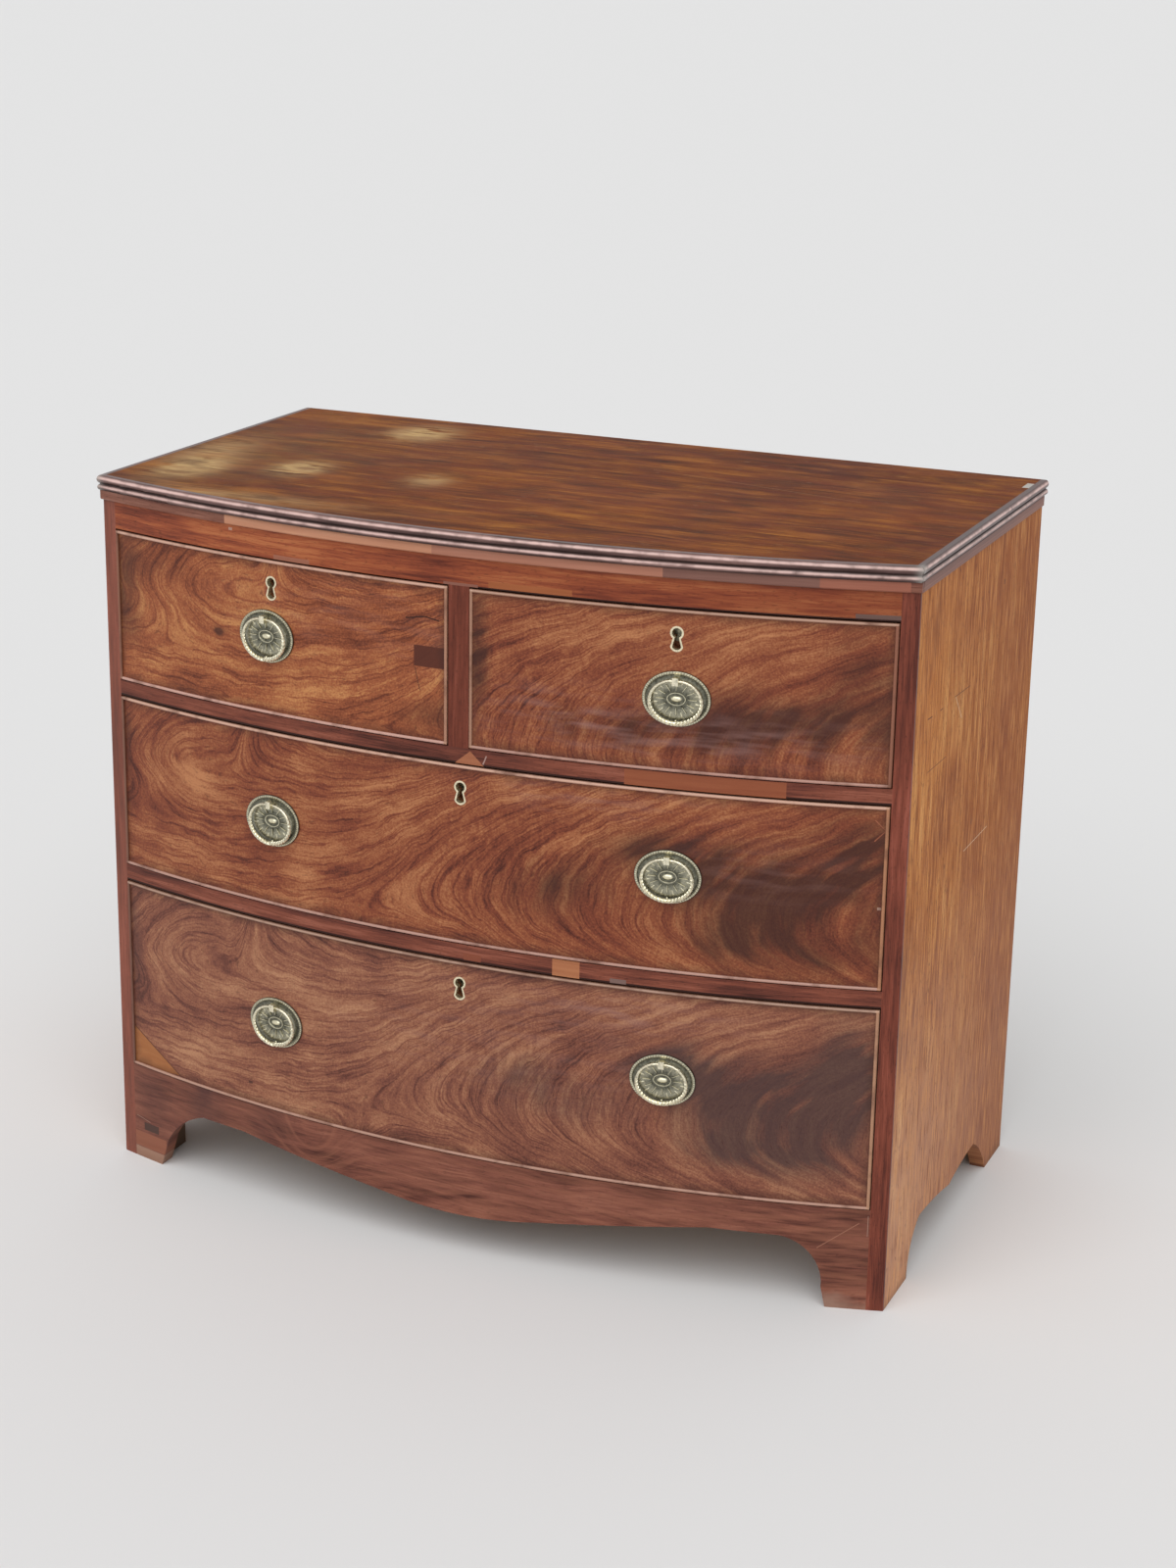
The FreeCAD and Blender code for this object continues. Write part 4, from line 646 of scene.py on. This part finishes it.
def bead_wood(row, left_code, right_code, top_code, foot_code):
    """Cock-bead, a thin proud slip with painted highlights along its noses."""
    left, right, low, high = row_edges(row)
    material, tree, principled = new_material(f"cockbead_mahogany_{row}", Specular_IOR_Level=0.3)
    place = Place(tree)
    at_top = add(tree, "Math", {0: place.z, 1: (low + high) / 2}, operation="GREATER_THAN")
    colour = stained(tree, linear(foot_code), at_top, top_code)
    at_left = add(tree, "Math", {0: place.x, 1: left + BEAD_STRIP}, operation="LESS_THAN")
    colour = stained(tree, colour, at_left, left_code)
    at_right = add(tree, "Math", {0: place.x, 1: right - BEAD_STRIP}, operation="GREATER_THAN")
    colour = stained(tree, colour, at_right, right_code)
    knocks = blotches(tree, place, 26, 4)
    # Painted highlights: pale lines along the noses of the top and bottom beads.
    painted_nose_highlights = bells(tree, place.z, 0.0, [
        (0.4, (high - 0.9, 0), (1.0, 1)), (0.2, (low + 2.1, 0), (0.9, 1))])
    colour = stained(tree, colour, painted_nose_highlights, "#E4C6B0")
    colour = tinged(tree, colour, behind_the_bow(tree, place), -0.5, 1.5, 0.9, "#754833")
    soiled = add(tree, "MapRange", {0: knocks, 1: 0.52, 2: 0.7, 3: 0.06, 4: 0.75})
    colour = stained(tree, colour, soiled, "#6A4436")
    wire(tree, principled, colour, weigh(tree, 0.45, (knocks, 0.4)), knocks, 0.4, 0.4)
    return material


BEAD_CODES = {"top_left": ("#8A5E4A", "#AE8068", "#BE917E", "#C2968A"),
              "top_right": ("#A87E68", "#8E5C48", "#966A56", "#AA7E72"),
              "middle": ("#7E5848", "#AC7858", "#C0927E", "#AE8478"),
              "bottom": ("#745042", "#B08468", "#86604F", "#AA8070")}
for row, codes in BEAD_CODES.items():
    paint(f"drawer_{row}_cockbead", bead_wood(row, *codes))

# Cuban mahogany of the stiles and post: close, straight and wine red, with a soft wax sheen.
stile = straight_wood("stile_mahogany", "z", "x", ["#54271E", "#6E3628", "#7E4030", "#925040"], 4, 0.4,
                      marks=stile_marks)
# The rails are the same wood, browner where hands and drawers have rubbed them.
rail = straight_wood("rail_mahogany", "x", "z", ["#46221A", "#68362A", "#7C4332", "#925644"], 4, 0.45,
                     marks=rail_marks)
# The frieze is a brighter orange board with long even streaks.
frieze = straight_wood("frieze_mahogany", "x", "z", ["#5E2A1C", "#844029", "#9A5030", "#B06840"], 5,
                       0.4, marks=frieze_marks)
# The apron's veneer is dull and rosy, its grain running in slow waves.
apron_wood = straight_wood("apron_mahogany", "x", "z", ["#4A261E", "#683C30", "#7A483A", "#8E5A48"], 7,
                           0.45, wander=18, marks=apron_marks)
# The sides are plain Honduras mahogany bleached to a dry tan, open-pored and almost matt.
for side, marks in (("left", faded_side), ("right", scratched_side)):
    paint(f"side_{side}", straight_wood(
        f"{side}_side_mahogany", "z", "y", ["#844620", "#A8632F", "#C07C40", "#E2A868"], 4, 0.6, 0.1,
        marks=marks, pore=(2.2, 11, 0.7, "#6E3E24")))
# The top is one wide board of old, oiled mahogany: deep brown, lively, its gloss long gone.
top_wood = straight_wood("top_mahogany", "x", "y", ["#3E1A08", "#693412", "#824718", "#A26628"], 4,
                         0.5, 0.03, 26, marks=top_marks, pore=(1.3, 10, 0.5, "#3A2016"))
# Its reeded moulding is dark and waxy, with painted highlights as thin pale lines along the noses and
# painted shade in the grooves.
reed_wood = straight_wood("reed_mahogany", "x", "z", ["#3C2522", "#543A36", "#684B48", "#84645C"], 4,
                          0.35, 0.3, marks=reed_marks)
# The band beneath is dusty, brownish pink.
band_wood = straight_wood("band_mahogany", "x", "z", ["#5C342A", "#784A3C", "#865848", "#98695A"], 3,
                          0.4, marks=band_marks)
# Drawer linings are quartered oak, honey brown and dry, with long dark pores.
oak = straight_wood("drawer_lining_oak", "y", "z", ["#8A5F3E", "#AA7B53", "#BC8F66", "#D0A880"], 3,
                    0.6, wander=3, pore=(1.3, 12, 0.4, "#644630"))
# The carcase within is knotty deal, unfinished and the colour of straw gone brown.
pine = straight_wood("carcase_pine", "x", "y", ["#7A5838", "#9A7550", "#AC8860", "#BE9C74"], 5,
                     0.7, wander=9, pore=(1.3, 9, 0.1, "#6E5334"))
# The back boards are the same deal under two centuries of dust, matt and grey-brown.
back_pine = straight_wood("back_board_pine", "z", "x", ["#6E5138", "#8A6A4C", "#9A7A5A", "#AC8E6C"], 3,
                          0.8, wander=14, marks=back_marks, pore=(1.3, 9, 0.1, "#5E4630"))
# Glue blocks behind the feet are painted nearly black as the shade under the chest.
block_pine = straight_wood("shade_dark_pine", "z", "x", ["#33261C", "#45352A", "#554234", "#665040"], 6,
                           0.8, pore=(1.3, 9, 0.1, "#241A14"))

FINISHES = {
    "stile_facings": stile, "centre_post": stile,
    "upper_drawer_rail": rail, "lower_drawer_rail": rail, "frieze_rail": frieze, "apron": apron_wood,
    "top_board": top_wood, "top_edge_moulding": reed_wood, "under_top_band": band_wood,
    "back_boards": back_pine, "drawer_divider": pine, "bottom_board": pine, "dustboards": pine,
    "drawer_runners": pine, "drawer_stops": pine, "glue_blocks": block_pine,
}
for node, material in FINISHES.items():
    paint(node, material)


# ---------------- brass and steel

def antique_brass(name, bright, height=None, rough=0.36, rubbed=0.6, spots=2.5):
    """Brass gone olive with age: dark in its hollows, bright where hands and dusters rub it.

    height gives the levels of the hollows and crests of a piece that stores its own relief.
    """
    material, tree, principled = new_material(name, Metallic=1.0)
    mottle = blotches(tree, Place(tree), spots, 3)
    if height:
        relief = add(tree, "Attribute", attribute_name="relief").outputs["Fac"]
        raised = add(tree, "MapRange", {0: relief, 1: height[0], 2: height[1]})
        shine = weigh(tree, rubbed, (raised, 0.64), (mottle, 0.6))
    else:
        shine = weigh(tree, rubbed, (mottle, 0.9))
    colour = add(tree, "ValToRGB", {0: shine}, stops=[
        (0.1, "#403F36"), (0.35, "#79786A"), (0.6, "#AEAA95"), (0.95, bright)])
    wire(tree, principled, colour, weigh(tree, rough, (mottle, 0.25)), mottle, 0.3, 0.2)
    return material


def old_steel():
    """Lock steel: dull grey-brown, smeared with old oil."""
    material, tree, principled = new_material("lock_steel", Metallic=1.0)
    smear = blotches(tree, Place(tree), 12, 4)
    colour = add(tree, "ValToRGB", {0: smear}, stops=[
        (0.3, "#4A4540"), (0.5, "#6E6A64"), (0.7, "#8C8880")])
    wire(tree, principled, colour, weigh(tree, 0.5, (smear, 0.4)), smear, 0.3, 0.2)
    return material


# Thin stamped sheet: the sunk ground has gone dark grey, the rays and beads still gleam.
plate_brass = antique_brass("stamped_brass", "#EDE6C8", height=(1.2, 2.55))
# Cast brass that fingers keep bright, almost silver where the light catches the rope.
rubbed_brass = antique_brass("rubbed_brass", "#FBF3D8", rough=0.3, rubbed=0.86)
# Thread escutcheons are filed flush with the veneer, so they are the palest and plainest.
thread_brass = antique_brass("escutcheon_brass", "#F6EACB", rough=0.45, rubbed=0.92)
# Lock cases inside the drawers are sooty and dull, and their bolts are grey steel.
lock_brass = antique_brass("sooty_lock_brass", "#A89C78", rough=0.55, rubbed=0.5, spots=16)
steel = old_steel()

# The plates and bails aren't here, because modelled ones stand for them.
ENDINGS = {"_sides_and_back": oak, "_bottom": oak, "_handle_posts": rubbed_brass,
           "_escutcheon": thread_brass, "_lock": lock_brass, "_lock_bolt": steel}
for node in frame["nodes"]:
    for ending, material in ENDINGS.items():
        if node.startswith("drawer") and node.endswith(ending):
            paint(node, material)


# ---------------- brass handles

PLATE_HALF_WIDTH = 36.5 * MM
PLATE_HALF_HEIGHT = 29.7 * MM
# The bail's pin lies so far above the plate's middle and so far out from the drawer's face.
PIVOT_RISE = 20 * MM
PIVOT_STANDOFF = 6.5 * MM
# The rim's crest is notched between its beads.
RIM_BEADS = 72
RIM_CREST = 2.2 * MM
RIM_NOTCH = 0.8 * MM
RIM_SHARE = 0.9
# The rays' roots and tips, and the leaves between them, lie on ovals of these half sizes, in mm.
RAYS = 12
RAY_ROOTS = (12.2, 8.9)
RAY_TIPS = (22.5, 17.2)
RAY_WIDTH = 1.7 * MM
RAY_HEIGHT = 1.5 * MM
RAY_LEVEL = 2.0 * MM
LEAVES = (23.4, 17.8)
LEAF_HALF_SIZES = (3.6 * MM, 1.25 * MM, 0.7 * MM)
LEAF_LEVEL = 1.6 * MM
# The knob that the bail knocks against.
KNOB_RADIUS = 1.5 * MM
KNOB_PLACE = (0, -23.6 * MM, 1.7 * MM)

# The plate's stamped profile: half width, half height and level above the drawer front, in mm.
PLATE_PROFILE = [
    (36.5, 29.7, 0.9), (36.1, 29.3, 1.8), (35.4, 28.6, 2.5), (34.3, 27.5, 2.5),
    (33.4, 26.6, 1.7), (32.6, 25.8, 1.05), (30.8, 24.0, 0.9), (29.9, 23.1, 1.2),
    (28.6, 21.8, 1.5), (24.0, 18.2, 1.75), (17.5, 13.0, 1.6), (12.6, 9.3, 1.15),
    (10.6, 7.5, 1.15), (10.1, 7.0, 2.1), (9.1, 6.0, 2.1), (8.5, 5.4, 1.2),
    (6.4, 3.5, 1.2), (5.3, 2.5, 2.2), (4.2, 1.5, 2.9), (2.9, 0.7, 3.1),
]


def start_fresh():
    """Deselects everything, so that operators act on the new piece only."""
    bpy.ops.object.select_all(action="DESELECT")


def edit_whole():
    """Starts to edit the active mesh, all of it selected."""
    bpy.ops.object.mode_set(mode="EDIT")
    bpy.ops.mesh.select_all(action="SELECT")


def select_points(obj, wanted):
    """In edit mode: selects the vertices whose place satisfies wanted."""
    bpy.ops.mesh.select_all(action="DESELECT")
    bpy.ops.object.mode_set(mode="OBJECT")
    for vertex in obj.data.vertices:
        vertex.select = wanted(vertex.co)
    bpy.ops.object.mode_set(mode="EDIT")


def stamped_plate():
    """The oval backplate: each oval of the profile is extruded from the last."""
    start_fresh()
    bpy.ops.mesh.primitive_circle_add(vertices=2 * RIM_BEADS, radius=1, fill_type="NGON")
    plate = bpy.context.object
    edit_whole()
    bpy.ops.transform.resize(value=(PLATE_HALF_WIDTH, PLATE_HALF_HEIGHT, 1))
    last = (PLATE_HALF_WIDTH / MM, PLATE_HALF_HEIGHT / MM, 0)
    for oval in PLATE_PROFILE:
        bpy.ops.mesh.extrude_region_move(
            TRANSFORM_OT_translate={"value": (0, 0, (oval[2] - last[2]) * MM)})
        bpy.ops.transform.resize(value=(oval[0] / last[0], oval[1] / last[1], 1))
        last = oval

    def between_beads(place):
        turn = math.atan2(place.y / PLATE_HALF_HEIGHT, place.x / PLATE_HALF_WIDTH)
        out = math.hypot(place.x / PLATE_HALF_WIDTH, place.y / PLATE_HALF_HEIGHT)
        on_crest = place.z > RIM_CREST and out > RIM_SHARE
        return on_crest and round(turn / math.pi * RIM_BEADS) % 2 == 1

    select_points(plate, between_beads)
    bpy.ops.transform.translate(value=(0, 0, -RIM_NOTCH))
    bpy.ops.object.mode_set(mode="OBJECT")
    return plate


def on_oval(oval, turn):
    """The point of an oval, given by its half sizes, that lies at a turn from its right end."""
    return Vector((oval[0] * math.cos(turn), oval[1] * math.sin(turn), 0))


def ray(turn):
    """One raised ray, a long wedge from the oval ring outwards."""
    inner = on_oval(RAY_ROOTS, turn)
    outer = on_oval(RAY_TIPS, turn)
    start_fresh()
    bpy.ops.mesh.primitive_cube_add(size=1)
    wedge = bpy.context.object
    edit_whole()
    bpy.ops.transform.resize(value=((outer - inner).length * MM, RAY_WIDTH, RAY_HEIGHT))
    select_points(wedge, lambda place: place.z > 0)
    bpy.ops.transform.resize(value=(0.86, 0.35, 1))
    select_points(wedge, lambda place: place.x < 0)
    bpy.ops.transform.resize(value=(1, 0.6, 1))
    bpy.ops.object.mode_set(mode="OBJECT")
    middle = (inner + outer) / 2 * MM
    wedge.location = (middle.x, middle.y, RAY_LEVEL)
    wedge.rotation_euler.z = math.atan2(outer.y - inner.y, outer.x - inner.x)
    return wedge


def leaf(turn):
    """A small raised leaf between two rays."""
    place = on_oval(LEAVES, turn)
    start_fresh()
    bpy.ops.mesh.primitive_uv_sphere_add(segments=12, ring_count=6, radius=1)
    blade = bpy.context.object
    blade.scale = LEAF_HALF_SIZES
    blade.location = (place.x * MM, place.y * MM, LEAF_LEVEL)
    blade.rotation_euler.z = math.atan2(place.y, place.x)
    bpy.ops.object.transform_apply()
    return blade


def patera_plate():
    """The whole stamped plate: rim, rays, leaves and the little stop knob under the bail."""
    plate = stamped_plate()
    pieces = [ray(2 * math.pi * n / RAYS) for n in range(RAYS)]
    pieces += [leaf(2 * math.pi * (n + 0.5) / RAYS) for n in range(RAYS)]
    start_fresh()
    bpy.ops.mesh.primitive_uv_sphere_add(segments=12, ring_count=8, radius=KNOB_RADIUS,
                                         location=KNOB_PLACE)
    pieces.append(bpy.context.object)
    start_fresh()
    for piece in pieces + [plate]:
        piece.select_set(True)
    bpy.context.view_layer.objects.active = plate
    bpy.ops.object.join()
    bpy.ops.object.shade_smooth_by_angle(angle=math.radians(35))
    relief = plate.data.attributes.new("relief", "FLOAT", "POINT")
    relief.data.foreach_set("value", [vertex.co.z / MM for vertex in plate.data.vertices])
    return plate


BAIL_HALF_WIDTH = 27.6 * MM
BAIL_DROP = 45 * MM
BAIL_THIN = 1.25 * MM
BAIL_THICK = 2.6 * MM
BAIL_STATIONS = 72
PIN_HALF_LENGTH = 4 * MM
# How long a Bezier handle is, beside its radius, to draw a quarter of a circle.
QUARTER_HANDLE = 0.5523
# The bar is smooth as far as this share of its length. Beyond it the strands, each so many points
# wide, turn from one station to the next, with the grooves between them drawn in.
SMOOTH_SHARE = 0.42
STRANDS = 4
STRAND_POINTS = 4
STRAND_TURN = math.radians(24)
GROOVE_SHARE = 0.72
# Points closer than this are taken to be at the same place.
TOUCH = 0.01 * MM


def bail_path():
    """Half the bail's middle line, from the pin's middle round to its lowest point."""
    start_fresh()
    bpy.ops.curve.primitive_bezier_curve_add()
    path = bpy.context.object
    spline = path.data.splines[0]
    spline.bezier_points.add(2)
    spline.resolution_u = 48
    pin = PIN_HALF_LENGTH
    middle = -BAIL_DROP / 2
    shape = [((0, 0), (pin / 3, 0)), ((pin, 0), ((BAIL_HALF_WIDTH - pin) * QUARTER_HANDLE, 0)),
             ((BAIL_HALF_WIDTH, middle), (0, middle * QUARTER_HANDLE)),
             ((0, -BAIL_DROP), (-BAIL_HALF_WIDTH * QUARTER_HANDLE, 0))]
    for point, ((x, y), (run, rise)) in zip(spline.bezier_points, shape):
        point.handle_left_type = point.handle_right_type = "FREE"
        point.co = (x, y, 0)
        point.handle_left = (x - run, y - rise, 0)
        point.handle_right = (x + run, y + rise, 0)
    spline.bezier_points[1].handle_left = (pin * 2 / 3, 0, 0)
    return path


def roped_bar(length):
    """A straight bar that swells along its length: a smooth neck, then four twisted strands."""
    start_fresh()
    bpy.ops.mesh.primitive_circle_add(vertices=STRANDS * STRAND_POINTS, radius=BAIL_THIN,
                                      rotation=(0, math.pi / 2, 0))
    bar = bpy.context.object
    bpy.ops.object.transform_apply()
    edit_whole()
    radius = BAIL_THIN
    for station in range(1, BAIL_STATIONS + 1):
        share = station / BAIL_STATIONS
        reach = share * length
        bpy.ops.mesh.extrude_region_move(
            TRANSFORM_OT_translate={"value": (length / BAIL_STATIONS, 0, 0)})
        swollen = BAIL_THIN + (BAIL_THICK - BAIL_THIN) * (1 - math.cos(math.pi * share)) / 2
        bpy.ops.transform.resize(value=(1, swollen / radius, swollen / radius))
        radius = swollen
        if share > SMOOTH_SHARE:
            bpy.ops.transform.rotate(value=STRAND_TURN, orient_axis="X", center_override=(reach, 0, 0))
        if station == round(SMOOTH_SHARE * BAIL_STATIONS):
            carve_strands(bar, reach)
    bpy.ops.object.mode_set(mode="OBJECT")
    return bar


def carve_strands(bar, reach):
    """Draws every fourth point of the open end inwards, and selects the whole end again."""
    def at_groove(place):
        turn = math.atan2(place.z, place.y) / (2 * math.pi) * STRANDS * STRAND_POINTS
        return abs(place.x - reach) < TOUCH and round(turn) % STRAND_POINTS == 0

    select_points(bar, at_groove)
    bpy.ops.transform.resize(value=(1, GROOVE_SHARE, GROOVE_SHARE), center_override=(reach, 0, 0))
    select_points(bar, lambda place: abs(place.x - reach) < TOUCH)


def roped_bail():
    """The hanging ring: half a bar bent along its path, then mirrored."""
    path = bail_path()
    bar = roped_bar(path.data.splines[0].calc_length())
    bend = bar.modifiers.new("bend", "CURVE")
    bend.object = path
    bend.deform_axis = "POS_X"
    mirror = bar.modifiers.new("mirror", "MIRROR")
    mirror.merge_threshold = 0.1 * MM
    for modifier in (bend, mirror):
        bpy.ops.object.modifier_apply(modifier=modifier.name)
    bpy.data.objects.remove(path)
    edit_whole()
    bpy.ops.mesh.normals_make_consistent(inside=False)
    bpy.ops.object.mode_set(mode="OBJECT")
    bpy.ops.object.shade_smooth_by_angle(angle=math.radians(50))
    return bar


def hang(source, name, seat, body, node, material):
    """A copy of a modelled brass with its own mesh, set in its seat in place of a node."""
    piece = bpy.data.objects.new(name, source.data.copy())
    bpy.context.scene.collection.objects.link(piece)
    piece.data.transform(seat)
    piece.data.materials.clear()
    piece.data.materials.append(material)
    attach(piece, body)
    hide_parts(node)


def fit_handles():
    """Plates on the drawers and bails on their posts, each square to the bowed front."""
    plate = patera_plate()
    bail = roped_bail()
    swings = [joint for joint in frame["joints"] if joint["name"].endswith("_swing")]
    for joint in swings:
        along = -Vector(joint["axis"])
        up = Vector((0, 0, 1))
        out = along.cross(up)
        turn = Matrix((along, up, out)).transposed().to_4x4()
        pivot = Vector(joint["pos_m"])
        face = pivot - up * PIVOT_RISE - out * PIVOT_STANDOFF
        place = joint["child"].removeprefix("bail_")
        hang(plate, f"handle_plate_{place}", Matrix.Translation(face) @ turn,
             joint["parent"], joint["parent"] + "_handle_plates", plate_brass)
        hang(bail, f"roped_bail_{place}", Matrix.Translation(pivot) @ turn,
             joint["child"], joint["child"], rubbed_brass)
    for source in (plate, bail):
        bpy.data.objects.remove(source)


fit_handles()


# ---------------- camera, floor and light

# Where the camera stands in metres, its azimuth, elevation and roll in degrees, its lens in mm.
CAMERA_PLACE = (1.2637, -2.8801, 1.4807)
CAMERA_TURNS = (23.09, 17.70, 1.022)
CAMERA_LENS = 65.42
FLOOR_SIZE = 120
SUN_STRENGTH = 1.55
SUN_WIDTH, SUN_LEAN, SUN_SWING = math.radians(60), math.radians(38), math.radians(8)
STUDIO_GREY, CEILING_GREY = "#E4E4E4", "#C6C6C6"


def stand_camera():
    """The camera looks down a little, from the right of the front."""
    camera = bpy.data.objects.new("camera", bpy.data.cameras.new("camera"))
    bpy.context.scene.collection.objects.link(camera)
    camera.data.lens = CAMERA_LENS
    azimuth, elevation, roll = (math.radians(angle) for angle in CAMERA_TURNS)
    turn = (Matrix.Rotation(azimuth, 3, "Z") @ Matrix.Rotation(math.pi / 2 - elevation, 3, "X")
            @ Matrix.Rotation(roll, 3, "Z"))
    camera.location = CAMERA_PLACE
    camera.rotation_euler = turn.to_euler()
    bpy.context.scene.camera = camera


def lay_floor():
    """A plain pale floor that runs out of sight."""
    start_fresh()
    bpy.ops.mesh.primitive_plane_add(size=FLOOR_SIZE)
    floor = bpy.context.object
    floor.name = "floor"
    painted = new_material("pale_floor", Roughness=0.9, Base_Color=linear(STUDIO_GREY))[0]
    floor.data.materials.append(painted)


def light_studio():
    """One broad soft lamp, walls as pale as the floor, and a ceiling that is a little dimmer."""
    sun = bpy.data.objects.new("soft_key", bpy.data.lights.new("soft_key", "SUN"))
    bpy.context.scene.collection.objects.link(sun)
    sun.data.energy = SUN_STRENGTH
    sun.data.angle = SUN_WIDTH
    sun.rotation_euler = (SUN_LEAN, 0, SUN_SWING)
    world = bpy.data.worlds.new("studio")
    bpy.context.scene.world = world
    world.use_nodes = True
    tree = world.node_tree
    direction = add(tree, "TexCoord").outputs["Generated"]
    lift = add(tree, "SeparateXYZ", {0: direction}).outputs[2]
    lift = add(tree, "MapRange", {0: lift, 1: 0.15, 2: 0.7})
    sky = stained(tree, linear(STUDIO_GREY), lift, CEILING_GREY)
    give(tree, tree.nodes["Background"].inputs["Color"], sky)


stand_camera()
lay_floor()
light_studio()
bpy.context.scene.view_settings.view_transform = "Standard"
